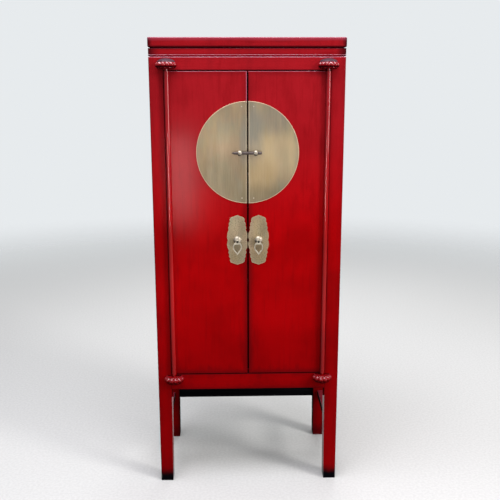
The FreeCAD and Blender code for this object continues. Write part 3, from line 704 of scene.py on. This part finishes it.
# Colours of the lacquer
RED_BRIGHT = colour(0.45, 0.0009, 0.0023)
RED_DEEP = colour(0.35, 0.0005, 0.0014)
# Painted pinkish sheen, laid on high up
RED_PAINTED_SHEEN = colour(0.345, 0.0100, 0.0160)
# Darker red of the grain, and painted shade low down and on the left legs
RED_SHADE = colour(0.15, 0.0010, 0.0020)
# Dark of worn edges, and also painted shade under slopes, on a shaded side and in grooves
WEAR_AND_SHADE = colour(0.030, 0.0025, 0.0040)
# Painted pale highlight on slopes that look up and along a door's edge
PALE_SHEEN = colour(0.50, 0.135, 0.205)
# Painted grey sky sheen, with dust, on the upper sockets' domes
DUST_AND_SHEEN = colour(0.055, 0.042, 0.055)
# Painted highlight, with dust, under the top frame's upper edge
EDGE_SHEEN_AND_DUST = colour(0.42, 0.10, 0.16)
BLACK = colour(0.0025, 0.0025, 0.0035)
SOOT = colour(0.006, 0.006, 0.007)
INNER_DEEP = colour(0.014, 0.0095, 0.0080)
INNER_LIGHT = colour(0.042, 0.028, 0.022)

# Scales of the noises in it, as one number or one for each axis
UPRIGHT = (110.0, 110.0, 5.0)
ACROSS = (5.0, 110.0, 110.0)
FRONT_TO_BACK = (110.0, 5.0, 110.0)
BLOT_GRAIN = (26.0, 26.0, 7.0)
CLOUD_SCALE = 4.5
FINE_SCALE = 70.0
EDGE_SCALE = 14.0
CORNER_SCALE = 35.0
FOOT_SCALE = 30.0
BLACK_CLOUD_SCALE = 6.0
BLACK_FINE_SCALE = 80.0

# Levels over the floor between which a layer of it comes or goes: the sheen levels hold a painted
# sheen, the shady and dark levels painted shade low down
SHEEN_LEVELS = (1.0, 1.7)
SHADY_LEVELS = (0.2, 1.5)
DARK_LEVELS = (0.45, 0.78)
EDGE_SHADE_LEVELS = (0.95, 1.40)
POLISH_LEVELS = (0.50, 1.45)
DOOR_EDGE_HIGHLIGHT_LEVELS = (1.35, 1.62)
FOOT_LEVELS = (0.020, 0.072)

# Distances between which its wear, stains, painted highlights and painted sheen end, and how ragged
# the noises make that end
RUBBED_WIDTHS = (0.0015, 0.0055)
RUBBED_RAGGED = 0.0022
STAINED_WIDTHS = (-0.010, 0.035)
STAINED_RAGGED = 0.110
CORNER_START = -0.006
CORNER_RAGGED = 0.012
FOOT_RAGGED = 0.030
DOOR_EDGE_HIGHLIGHT_WIDTHS = (0.0015, 0.0040)
EDGE_SHEEN_AND_DUST_WIDTHS = (-0.006, 0.010)
EDGE_SHEEN_AND_DUST_RAGGED = 0.012
DUST_AND_SHEEN_EDGE = 0.003
DUST_AND_SHEEN_START_SHARE = 0.8

# What a piece of red lacquer may ask for, and what it has otherwise
LACQUER_OPTIONS = {
    # Directions of its black inner faces, and the level where they start
    "inside": (0, 0, 0), "inside_from": 0.0,
    # Painted shade all over, dark grain in streaks, and darkening along the edges with its reach
    "shade": 0.0, "streaked": 0.34, "edge_shade": 0.30, "edge_reach": 0.012,
    # Strength of the black foot, and reach of the worn ends
    "feet": 0.0, "corners": 0.0,
    # Painted pale highlight on slopes that look up, painted shade on those that look down, and painted
    # highlight with dust under the upper edge
    "top_age": 0.85, "under_age": 0.0, "bloom": 0.0,
    # Place across of a painted highlight line on a door's edge, direction that gets painted shade,
    # level where painted sheen and dust start
    "chafed": None, "shaded": None, "dust": None,
    # Level, reach and strength of painted shade in a groove
    "groove": None,
    # Roughness of the colour and of the clear coat over it
    "rough": 0.33, "haze": 0.08,
    # Clear coat high up, its share low down, and that of faces that look up
    "gloss": 0.055, "low_gloss": 0.06, "top_gloss": 0.45, "top_facing": (0.25, 0.5),
    # Clear coat of inner faces that aren't black
    "under_gloss": 0.0,
}


class Lacquer(Graph):
    """Red lacquer in layers, worn along the edges of its box, with painted highlight and shade on its
    slopes.
    """

    def __init__(self, name, grain, reach, options):
        super().__init__(name)
        low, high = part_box(name)
        spread = Vector(reach) * FAR
        self.low, self.high = low - spread, high + spread
        vars(self).update({**LACQUER_OPTIONS, **options})
        self.across, _, self.level = self.axes(self.position)
        self.facing = self.node("TexCoord").outputs["Normal"]
        self.upward = self.axes(self.facing)[2]
        self.streaks = self.noise(grain, 5.0, 0.6)
        self.clouds = self.noise(CLOUD_SCALE)
        self.fine = self.noise(FINE_SCALE, 4.0, 0.6)
        self.blots = self.noise(BLOT_GRAIN, 4.0, 0.6)

    def cover(self, share, tint):
        self.red = self.mix(share, self.red, tint)

    def mottle(self):
        """Red with a painted pinkish sheen high up, darker in streaks, clouds and blots, and painted
        shade low down.
        """
        self.red = self.mix(self.between(self.clouds, 0.3, 0.7), RED_DEEP, RED_BRIGHT)
        self.cover(self.between(self.level, *SHEEN_LEVELS, 0.0, 0.9), RED_PAINTED_SHEEN)
        # The last two layers are painted shade, stronger low down
        for layer in (
            (self.streaks, 0.48, 0.85, 0.0, self.streaked),
            (self.clouds, 0.58, 0.30, 0.0, 0.20),
            (self.blots, 0.50, 0.72, 0.0, 0.26),
            (self.level, *SHADY_LEVELS, self.shade + 0.30, self.shade),
            (self.level, *DARK_LEVELS, 0.32, 0.0),
        ):
            self.cover(self.between(*layer), RED_SHADE)
        self.roughness = self.between(self.clouds, 0.2, 0.8, self.rough - 0.05, self.rough + 0.05)

    def wear_edges(self):
        """A thin ragged line of wear, a wider shade that is weaker high up, and stains in it."""
        distance = edge_distance(self, self.low, self.high)
        near = self.ragged(distance, self.fine, RUBBED_RAGGED)
        width = self.between(self.noise(EDGE_SCALE, 4.0, 0.65), 0.3, 0.75, *RUBBED_WIDTHS)
        mask = self.between(near, 0.0, width, 0.75, 0.0)
        weak = min(self.edge_shade, LACQUER_OPTIONS["edge_shade"])
        shade = self.between(self.level, *EDGE_SHADE_LEVELS, self.edge_shade, weak)
        mask = self.larger(mask, self.between(near, 0.0, self.edge_reach, shade, 0.0))
        stained = self.ragged(distance, self.blots, STAINED_RAGGED)
        stain = self.between(stained, *STAINED_WIDTHS, self.times(shade, 0.7), 0.0)
        mask = self.larger(mask, stain)
        if self.corners:
            away = self.maths("ABSOLUTE", self.across)
            away = self.maths("MULTIPLY_ADD", self.noise(CORNER_SCALE), CORNER_RAGGED, away)
            end = self.minus(self.high.x, away)
            mask = self.larger(mask, self.between(end, CORNER_START, self.corners, 0.9, 0.0))
        self.cover(mask, WEAR_AND_SHADE)

    def blacken_foot(self):
        level = self.ragged(self.level, self.noise(FOOT_SCALE), FOOT_RAGGED)
        self.cover(self.between(level, *FOOT_LEVELS, self.feet, 0.0), BLACK)

    def paint_door_edge_highlight(self):
        """A painted highlight: a pale upright line high up along a door's edge."""
        away = self.maths("ABSOLUTE", self.minus(self.across, self.chafed))
        pale = self.between(away, *DOOR_EDGE_HIGHLIGHT_WIDTHS, 0.75, 0.0)
        self.cover(self.times(pale, self.between(self.level, *DOOR_EDGE_HIGHLIGHT_LEVELS)), PALE_SHEEN)

    def polish_upright(self):
        """Gloss that grows with the level; faces that look down have none."""
        gloss = self.times(self.between(self.level, *POLISH_LEVELS, self.low_gloss, 1.0), self.gloss)
        self.shine_share = self.times(gloss, self.between(self.upward, -0.20, 0.10))

    def blacken_inside(self):
        """Inner faces are black and dull; below that they may shine."""
        x, y, z = self.axes(self.vector("MULTIPLY", self.facing, self.inside))
        inward = self.between(self.larger(self.larger(x, y), z), 0.4, 0.8)
        start = self.inside_from
        turned = self.times(inward, self.between(self.level, start - MILLIMETRE, start))
        self.cover(turned, self.mix(self.between(self.streaks, 0.3, 0.8), INNER_DEEP, INNER_LIGHT))
        self.roughness = self.larger(self.roughness, self.times(turned, 0.75))
        sheen = self.times(self.minus(inward, turned), self.under_gloss)
        self.shine_share = self.larger(self.faded(self.shine_share, turned), sheen)

    def paint_sheen_and_shade(self):
        """Painted highlight with dust under the upper edge, painted pale highlight on slopes that look
        up and painted shade on those that look down.
        """
        if self.bloom:
            below = self.minus(self.high.z, self.level)
            below = self.maths("MULTIPLY_ADD", self.streaks, -EDGE_SHEEN_AND_DUST_RAGGED, below)
            pale = self.between(below, *EDGE_SHEEN_AND_DUST_WIDTHS, self.bloom, 0.0)
            upright = self.between(self.upward, 0.90, 0.99, 1.0, 0.0)
            self.cover(self.times(pale, upright), EDGE_SHEEN_AND_DUST)
        lifted = self.between(self.upward, 0.15, 0.6, 0.0, self.top_age)
        lifted = self.times(lifted, self.between(self.upward, 0.93, 0.99, 1.0, 0.2))
        self.cover(lifted, PALE_SHEEN)
        # Painted shade on slopes that look down
        self.cover(self.between(self.upward, -0.6, 0.0, self.under_age, 0.0), WEAR_AND_SHADE)

    def shade_side(self):
        """Painted shade: darken and dull what looks in one direction."""
        turned = self.vector("DOT_PRODUCT", self.facing, self.shaded)
        turned = self.between(turned, 0.30, 0.80, 0.0, 0.5)
        self.cover(turned, WEAR_AND_SHADE)
        self.shine_share = self.faded(self.shine_share, turned)

    def clear_coat(self):
        """Weight of the clear coat, which the painted sheen with dust and the painted shade of a
        groove dull.
        """
        coat = self.node("Mix", {
            "Factor": self.between(self.upward, *self.top_facing),
            "A": self.shine_share, "B": self.top_gloss,
        }).outputs["Result"]
        # Painted sky sheen and dust
        if self.dust:
            dust_and_sheen_share = self.between(self.level, self.dust, self.dust + DUST_AND_SHEEN_EDGE, 0.0, 0.9)
            self.cover(dust_and_sheen_share, DUST_AND_SHEEN)
            coat = self.faded(coat, dust_and_sheen_share)
        # Painted shade in a groove
        if self.groove:
            place, reach, depth = self.groove
            away = self.maths("ABSOLUTE", self.minus(self.level, place))
            dull = self.between(away, 0.4 * reach, reach, depth, 0.0)
            self.cover(dull, WEAR_AND_SHADE)
            coat = self.faded(coat, dull)
        return coat


def lacquer(name, grain, reach=(0, 0, 0), **options):
    """Red lacquer for a node; reach names the axes where its ends meet others and don't wear."""
    layers = Lacquer(name, grain, reach, options)
    layers.mottle()
    layers.wear_edges()
    if layers.feet:
        layers.blacken_foot()
    layers.polish_upright()
    if layers.chafed:
        layers.paint_door_edge_highlight()
    if any(layers.inside):
        layers.blacken_inside()
    layers.paint_sheen_and_shade()
    if layers.shaded:
        layers.shade_side()
    coat = layers.clear_coat()
    height = layers.maths("MULTIPLY_ADD", layers.fine, 0.12, layers.times(layers.streaks, 0.6))
    return layers.finish(layers.red, layers.roughness, height, 0.12, {
        "Coat Weight": coat, "Coat Roughness": layers.haze, "Coat IOR": 1.8, "Specular IOR Level": 0.0,
    })


def black_lacquer(name, grain, deep=INNER_DEEP, light=INNER_LIGHT, specular=0.15):
    """Dark satin lacquer, through which the grain of the wood shows."""
    graph = Graph(name)
    streaks = graph.noise(grain, 5.0, 0.6)
    fine = graph.noise(BLACK_FINE_SCALE)
    clouds = graph.noise(BLACK_CLOUD_SCALE)
    base = graph.mix(graph.between(streaks, 0.3, 0.8), deep, light)
    base = graph.mix(graph.between(clouds, 0.4, 0.8, 0.0, 0.35), base, deep)
    roughness = graph.between(streaks, 0.3, 0.8, 0.34, 0.50)
    height = graph.maths("MULTIPLY_ADD", fine, 0.2, streaks)
    return graph.finish(base, roughness, height, 0.15, {"Specular IOR Level": specular})


# Colours of the brass
OLIVE = colour(0.305, 0.265, 0.165)
PINK = colour(0.335, 0.245, 0.150)
GOLD = colour(0.42, 0.305, 0.15)
GREY = colour(0.235, 0.215, 0.175)
BRIGHT = colour(0.74, 0.60, 0.42)
DARK = colour(0.050, 0.040, 0.030)
STEEL = colour(0.230, 0.230, 0.200)
HONEY = colour(0.60, 0.46, 0.27)
BROWN = colour(0.165, 0.130, 0.075)
PIN_LIGHT = colour(0.14, 0.11, 0.10)
PIN_DEEP = colour(0.06, 0.045, 0.042)
WORN_LIGHT = colour(0.60, 0.54, 0.43)
WORN_DEEP = colour(0.42, 0.37, 0.29)
PULL_LIGHT = colour(0.54, 0.49, 0.38)
PULL_DEEP = colour(0.34, 0.31, 0.24)

# Scales of the noises in it
BRUSHED_GRAIN = (420.0, 420.0, 14.0)
BAND_GRAIN = (22.0, 22.0, 4.0)
STAIN_GRAIN = (34.0, 34.0, 9.0)
PATINA_SCALE = 11.0
SPECK_SCALE = 230.0
PIN_SCALE = 60.0
WORN_SCALE = 90.0

# Painted highlight of the round plate: how far in from its rim it starts and ends, the half width and
# the fade of the strip along its seam, and the strength there
PLATE_RIM_HIGHLIGHT = (0.0026, 0.0012)
SEAM_STRIP = 0.0075
SEAM_FADE = 0.0015
PLATE_SEAM_HIGHLIGHT = 0.22

# Which way the painted shade of the worn brass climbs
SHADE_SLOPE = (0.35, 0.0, 0.94)

# Reach of painted shade, in shares of the eye's and the boss's height and of the pull's eye
EYE_SHADE_SHARE = 0.5
BOSS_SHADE_SHARE = 0.35
HOLLOW_SHARE = 1.3

# Patches of colour: tint, middle and reach in shares of the round plate's radius, and strength. The
# honey and gold patches are painted highlight, the steel ones are patina, and the brown ones darken
# the lower part.
PLATE_PATCH_SHARES = [
    (STEEL, (0.14, 0.38), (0.20, 0.72), 0.65),
    (STEEL, (-0.07, 0.20), (0.11, 0.62), 0.50),
    (HONEY, (0.66, -0.02), (0.66, 0.52), 0.60),
    (STEEL, (0.50, 0.62), (0.42, 0.30), 0.40),
    (HONEY, (-0.62, 0.42), (0.40, 0.46), 0.16),
    (GOLD, (0.28, -0.50), (0.40, 0.48), 0.65),
    (BROWN, (-0.50, -0.50), (0.62, 0.52), 0.50),
    (BROWN, (0.35, -0.90), (0.80, 0.34), 0.60),
]

# The same for the handle plates, in shares of their half width and half height; the dark patch on the
# middle line, where the pull hangs, is painted shadow of the pull
HANDLE_PATCH_SHARES = [
    (BROWN, (0.0, -0.72), (1.0, 0.42), 0.36),
    (DARK, (-0.55, -0.08), (0.42, 0.24), 0.40),
    (HONEY, (-0.25, 0.50), (0.60, 0.36), 0.16),
    (DARK, (0.0, -0.26), (0.36, 0.20), 0.42),
    (BROWN, (0.45, 0.45), (0.45, 0.40), 0.40),
]


def colour_patches(shares, centre, half_width, half_height):
    """Patches of colour in the frame, from their shares of a plate's size."""
    return [
        (tint, (centre.x + u * half_width, 0.0, centre.z + v * half_height),
         (across * half_width, FAR, up * half_height), strength)
        for tint, (u, v), (across, up), strength in shares
    ]


def brass(name, tinted_patches, rim=None, seam=None, speckle=0.0):
    """Brushed brass with patches of colour: patina, painted highlight and painted shadow.

    It has a painted highlight where the mesh marks a rim sheen, or else at a rim, given by its middle
    and radius, and along a seam of a given half width. Speckle is the strength of fine brown specks.
    """
    graph = Graph(name)
    brushed = graph.noise(BRUSHED_GRAIN, 3.0, 0.6)
    bands = graph.noise(BAND_GRAIN, 3.0, 0.55)
    mottle = graph.noise(PATINA_SCALE, 3.0, 0.6)
    stains = graph.noise(STAIN_GRAIN, 4.0, 0.6)
    base = graph.mix(graph.between(mottle, 0.35, 0.65), OLIVE, PINK)
    base = graph.mix(graph.between(bands, 0.45, 0.7, 0.0, 0.6), base, GOLD)
    base = graph.mix(graph.between(stains, 0.48, 0.75, 0.0, 0.42), base, GREY)
    for tint, place, reach, strength in tinted_patches:
        offset = graph.vector("DIVIDE", graph.vector("SUBTRACT", graph.position, place), reach)
        away = graph.maths("MULTIPLY_ADD", stains, 0.7, graph.vector("LENGTH", offset))
        base = graph.mix(graph.between(away, 0.7, 1.55, strength, 0.0), base, tint)
    base = graph.mix(graph.between(brushed, 0.35, 0.7, 0.0, 0.08), base, BRIGHT)
    if speckle:
        specks = graph.noise(SPECK_SCALE, 3.0, 0.6)
        base = graph.mix(graph.between(specks, 0.45, 0.7, 0.0, speckle), base, BROWN)
    # Mask of painted highlight: the rim sheen of the mesh, a rim and a seam
    shine_share = graph.node("Attribute", attribute_name="rim_sheen").outputs["Fac"]
    if rim:
        centre, radius = rim
        start, end = (radius - inset for inset in PLATE_RIM_HIGHLIGHT)
        shine_share = graph.between(graph.from_axle(centre), start, end)
    if seam:
        across = graph.maths("ABSOLUTE", graph.axes(graph.position)[0])
        strip = graph.between(across, seam, seam + SEAM_FADE, PLATE_SEAM_HIGHLIGHT, 0.0)
        shine_share = graph.larger(shine_share, strip)
    base = graph.mix(shine_share, base, BRIGHT)
    roughness = graph.between(bands, 0.3, 0.7, 0.42, 0.56)
    return graph.finish(base, roughness, brushed, 0.07, {"Metallic": 0.75})


def dark_brass(name):
    graph = Graph(name)
    mottle = graph.noise(PIN_SCALE, 4.0, 0.6)
    base = graph.mix(graph.between(mottle, 0.35, 0.7), PIN_DEEP, PIN_LIGHT)
    roughness = graph.between(mottle, 0.3, 0.7, 0.38, 0.5)
    return graph.finish(base, roughness, mottle, 0.1, {"Metallic": 0.6})


def worn_brass(name, shade=None, hollow=None, light=WORN_LIGHT, dark=WORN_DEEP):
    """Handled brass, which can take painted shade in two ways, each given by a point and a reach.

    Shade paints shade over what lies below the point, and hollow paints black shade close to it.
    """
    graph = Graph(name)
    mottle = graph.noise(WORN_SCALE, 4.0, 0.6)
    base = graph.mix(graph.between(mottle, 0.35, 0.7), dark, light)
    if hollow:
        centre, reach = hollow
        black = graph.between(graph.from_axle(centre), 0.7 * reach, reach, 0.97, 0.0)
        base = graph.mix(black, base, BLACK)
    if shade:
        centre, reach = shade
        offset = graph.vector("SUBTRACT", graph.position, tuple(centre))
        above = graph.vector("DOT_PRODUCT", offset, SHADE_SLOPE)
        base = graph.mix(graph.between(above, -reach, 0.3 * reach, 0.9, 0.0), base, DARK)
    roughness = graph.between(mottle, 0.3, 0.7, 0.34, 0.46)
    return graph.finish(base, roughness, mottle, 0.08, {"Metallic": 0.7})


# Dressing the pieces
def set_material(material, piece):
    piece.data.materials.clear()
    piece.data.materials.append(material)


def dress(material, name, *settings, **options):
    """Give a CAD node its own material of a kind."""
    finish = material(name, *settings, **options)
    for slot in frame["nodes"][name].material_slots:
        slot.material = finish


# Wear of the legs: in front glossy inside below the bottom rail, behind darker along the edges
FRONT_LEG = {"inside_from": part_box("front_bottom_rail")[0].z, "under_gloss": 0.48, "feet": 1.0}
BACK_LEG = {"edge_shade": 0.6, "edge_reach": 0.018, "feet": 0.55}
# Painted shade on the left legs, which get less light
LEFT_LEG_SHADE = 0.10


def dress_side(side, sign):
    inside = (-sign, 0, 0)
    shade = LEFT_LEG_SHADE if side == "left" else 0.0
    for end, wear in (("front", FRONT_LEG), ("back", BACK_LEG)):
        dress(lacquer, f"{end}_{side}_leg", UPRIGHT, (0, 0, 1), inside=inside, shade=shade, **wear)
    for level in ("top", "middle", "bottom"):
        dress(lacquer, f"{side}_side_{level}_rail", FRONT_TO_BACK, (0, 1, 0), inside=inside)
    for level in ("lower", "upper"):
        dress(lacquer, f"{side}_side_{level}_panel", UPRIGHT, EVERY_WAY, inside=inside)
    dress(lacquer, f"{side}_stretcher", FRONT_TO_BACK, (0, 1, 0), inside=(-sign, 0, -1))


def dress_door(side):
    """The left door has a painted highlight line high up along its free edge."""
    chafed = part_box("left_door_panel")[1].x if side == "left" else None
    dress(
        lacquer, f"{side}_door_panel", UPRIGHT, inside=(0, 1, 0), haze=0.16, chafed=chafed,
        edge_shade=0.52, edge_reach=0.028, streaked=0.46,
    )
    dress(black_lacquer, f"{side}_door_battens", ACROSS)


# Painted shade in grooves: level, reach and strength
THRESHOLD_GROOVE = (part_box("left_door_panel")[0].z - MILLIMETRE, 0.0045, 0.9)
TOP_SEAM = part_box("top_frame")[0].z
SEAM_REACH = 0.008


def dress_front_and_top():
    dress(lacquer, "front_top_rail", ACROSS, (1, 0, 0), inside=(0, 1, 0))
    dress(
        lacquer, "front_bottom_rail", ACROSS, (1, 0, 0), inside=(0, 1, 0),
        groove=THRESHOLD_GROOVE, edge_shade=0.45, edge_reach=0.020,
    )
    dress(
        lacquer, "top_frieze", ACROSS, corners=0.045, groove=(TOP_SEAM, SEAM_REACH, 0.9),
        shade=0.10, streaked=0.75, top_age=0.55,
    )
    dress(
        lacquer, "top_frame", ACROSS, corners=0.018, groove=(TOP_SEAM, SEAM_REACH, 0.6), bloom=0.4,
        shade=0.08, streaked=0.8, top_age=0.3,
    )
    dress(lacquer, "top_panel", ACROSS)


def dress_back_and_inside():
    for level in ("top", "middle", "bottom"):
        dress(black_lacquer, f"back_{level}_rail", ACROSS)
    for level in ("lower", "upper"):
        dress(black_lacquer, f"back_{level}_panel", UPRIGHT)
    for name in ("lower_shelf", "upper_shelf", "shelf_battens"):
        dress(black_lacquer, name, ACROSS)
    for name in ("back_stretcher", "floor_board"):
        dress(black_lacquer, name, ACROSS, deep=BLACK, light=SOOT, specular=0.0)


def socket_lacquer(name, rises):
    """The upper sockets carry painted sky sheen and dust over their petals, and the lower ones shine
    low down too; both have painted shade underneath.
    """
    if rises > 0:
        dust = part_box(name)[0].z + PETAL_HEIGHT + DUST_AND_SHEEN_START_SHARE * PETAL_CROWN
        carving = {"gloss": 0.6, "under_age": 0.95, "shade": 0.4, "dust": dust}
    else:
        carving = {
            "gloss": 0.5, "low_gloss": 0.5, "top_facing": (0.45, 0.85), "under_age": 0.8, "shade": 0.3,
        }
    return lacquer(name, UPRIGHT, EVERY_WAY, haze=0.07, top_age=0.1, top_gloss=0.95, **carving)


def post_lacquer(side):
    """Glossy, with painted shade on the side that looks away from the light."""
    return lacquer(
        f"{side}_door_post", UPRIGHT, EVERY_WAY,
        gloss=0.80, low_gloss=0.28, haze=0.10, rough=0.5, shaded=(-1.0, 0.0, 0.0),
    )


def plate_brass(side, sign):
    low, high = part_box(f"{side}_moon_plate")
    radius = (high.z - low.z) / 2
    level = middle(low, high).z
    rim_centre = Vector((high.x if sign < 0 else low.x, 0.0, level))
    patches = colour_patches(PLATE_PATCH_SHARES, Vector((0.0, 0.0, level)), radius, radius)
    return brass(f"{side}_moon_brass", patches, (rim_centre, radius), SEAM_STRIP)


def handle_brass(side):
    low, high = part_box(f"{side}_handle_plate")
    half_size = (high - low) / 2
    patches = colour_patches(HANDLE_PATCH_SHARES, middle(low, high), half_size.x, half_size.z)
    return brass(f"{side}_handle_brass", patches, speckle=0.85)


def eye_brass(side):
    low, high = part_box(f"{side}_lock_eye")
    return worn_brass(f"{side}_eye_brass", (middle(low, high), EYE_SHADE_SHARE * (high.z - low.z)))


def boss_brass(side):
    """Painted shade below, and painted black shade in the eye of the pull that hangs in front of it.
    """
    low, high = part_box(f"{side}_pull_boss")
    shade = (middle(low, high), BOSS_SHADE_SHARE * (high.z - low.z))
    eye_middle = joint_place(f"{side}_pull_swing") - Vector((0.0, 0.0, PULL_EYE_DROP))
    return worn_brass(f"{side}_boss_brass", shade, (eye_middle, HOLLOW_SHARE * PULL_EYE))


def pull_brass(side):
    return worn_brass(f"{side}_pull_brass", light=PULL_LIGHT, dark=PULL_DEEP)


for side, sign in SIDES.items():
    dress_side(side, sign)
    dress_door(side)
    for end, rises in (("top", 1), ("bottom", -1)):
        name = f"{side}_{end}_socket"
        set_material(socket_lacquer(name, rises), carved_socket(name, rises))
    set_material(post_lacquer(side), door_post(side, sign))
    set_material(plate_brass(side, sign), moon_plate(side, sign))
    set_material(handle_brass(side), handle_plate(side))
    set_material(worn_brass(f"{side}_nail_brass"), plate_nails(side))
    set_material(eye_brass(side), lock_eye(side))
    set_material(boss_brass(side), pull_boss(side))
    set_material(pull_brass(side), ring_pull(side))
set_material(dark_brass("pin_brass"), lock_pin())
dress_front_and_top()
dress_back_and_inside()


# Floor: a pale disc that fades into the backdrop
FLOOR_RADIUS = 7.0
FLOOR_SIDES = 96
FLOOR_SPECK_SCALE = 90.0
FLOOR_FADE_SHARES = (0.35, 0.98)
FLOOR_LIGHT = colour(0.66, 0.66, 0.65)
FLOOR_DEEP = colour(0.60, 0.60, 0.59)
FLOOR_UNSEEN = colour(0.20, 0.20, 0.20)
BACKDROP = colour(0.80, 0.83, 0.85)


def floor_material():
    """Pale where it is seen, and darker for the light that it sends back to the cabinet."""
    graph = Graph("pale_floor")
    specks = graph.noise(FLOOR_SPECK_SCALE, 4.0)
    base = graph.mix(graph.between(specks, 0.3, 0.7), FLOOR_DEEP, FLOOR_LIGHT)
    base = graph.mix(graph.seen(), FLOOR_UNSEEN, base)
    shader = graph.node("BsdfPrincipled", {"Base Color": base, "Roughness": 0.85})
    clear = graph.node("BsdfTransparent")
    start, end = (share * FLOOR_RADIUS for share in FLOOR_FADE_SHARES)
    fade = graph.between(graph.vector("LENGTH", graph.position), start, end)
    join = graph.node("MixShader", {0: fade, 1: shader.outputs[0], 2: clear.outputs[0]})
    graph.node("OutputMaterial", {"Surface": join.outputs[0]})
    return graph.owner


def floor():
    edge = [(FLOOR_RADIUS * x, FLOOR_RADIUS * y, 0.0) for x, y in circle(FLOOR_SIDES)]
    mesh = bpy.data.meshes.new("floor")
    mesh.from_pydata(edge, [], [tuple(range(FLOOR_SIDES))])
    mesh.materials.append(floor_material())
    ground = add_object("floor", mesh)


floor()

# Lamps: name, place, target, width and height, power and tint
BODY_CENTRE = (0.0, 0.0, 1.1)
LAMPS = [
    ("key", (4.5, -3.1, 4.2), BODY_CENTRE, (1.3, 1.4), 160.0, (1.0, 0.98, 0.96)),
    ("side", (4.8, -2.8, 1.9), (0.0, 0.0, 1.5), (1.8, 1.8), 86.0, (1.0, 0.97, 0.97)),
    ("overhead", (-0.45, -0.9, 4.2), (-0.2, -0.5, 1.8), (3.2, 1.2), 118.0, (0.96, 0.94, 1.0)),
    ("fill", (-1.9, -2.7, 3.4), (-0.2, 0.0, 1.5), (1.6, 1.6), 24.0, (0.96, 0.98, 1.0)),
    ("back", (0.6, 3.4, 3.0), BODY_CENTRE, (2.0, 1.6), 60.0, (1.0, 1.0, 1.0)),
    ("glow", (-0.48, -3.25, 0.94), (-0.25, -0.2, 1.30), (0.14, 0.70), 15.5, (1.0, 0.95, 0.96)),
]

for name, place, target, size, power, tint in LAMPS:
    lamp = bpy.data.lights.new(name, "AREA")
    lamp.shape = "RECTANGLE"
    lamp.size, lamp.size_y = size
    lamp.energy = power
    lamp.color = tint
    holder = add_object(name, lamp)
    holder.location = place
    holder.rotation_euler = (Vector(target) - Vector(place)).to_track_quat("-Z", "Y").to_euler()

# Surroundings
SKY = colour(0.95, 0.98, 1.0)
SKY_SLOPE = (0.45, -0.10, 0.89)


def backdrop():
    """Pale surroundings, and for the light a sky that is brighter above and to the right."""
    graph = Graph("surroundings", bpy.data.worlds, "Generated")
    slope = graph.vector("DOT_PRODUCT", graph.position, SKY_SLOPE)
    sky = graph.node("Background", {
        "Color": SKY, "Strength": graph.between(slope, 0.0, 0.9, 0.06, 0.6),
    })
    behind = graph.between(graph.axes(graph.position)[1], -0.10, 0.60, 0.22, 1.0)
    straight = graph.node("LightPath").outputs["Is Camera Ray"]
    wall = graph.node("Background", {
        "Color": BACKDROP, "Strength": graph.larger(behind, straight),
    })
    join = graph.node("MixShader", {
        0: graph.seen(), 1: sky.outputs[0], 2: wall.outputs[0],
    })
    graph.node("OutputWorld", {"Surface": join.outputs[0]})
    bpy.context.scene.world = graph.owner


backdrop()
bpy.context.scene.view_settings.view_transform = "Standard"

# Camera, where the photograph was taken from
CAMERA_PLACE = (-0.0617, -2.9300, 1.6204)
CAMERA_PITCH = -12.513
CAMERA_TURN = -1.468
CAMERA_ROLL = -0.105
CAMERA_LENS = 50.15
CAMERA_SENSOR = 36.0

camera = add_object("camera", bpy.data.cameras.new("camera"))
camera.data.lens = CAMERA_LENS
camera.data.sensor_width = CAMERA_SENSOR
camera.location = CAMERA_PLACE
aim = Euler((radians(90 + CAMERA_PITCH), 0.0, radians(CAMERA_TURN))).to_matrix()
roll = Matrix.Rotation(radians(CAMERA_ROLL), 3, "Z")
camera.rotation_euler = (aim @ roll).to_euler()
bpy.context.scene.camera = camera
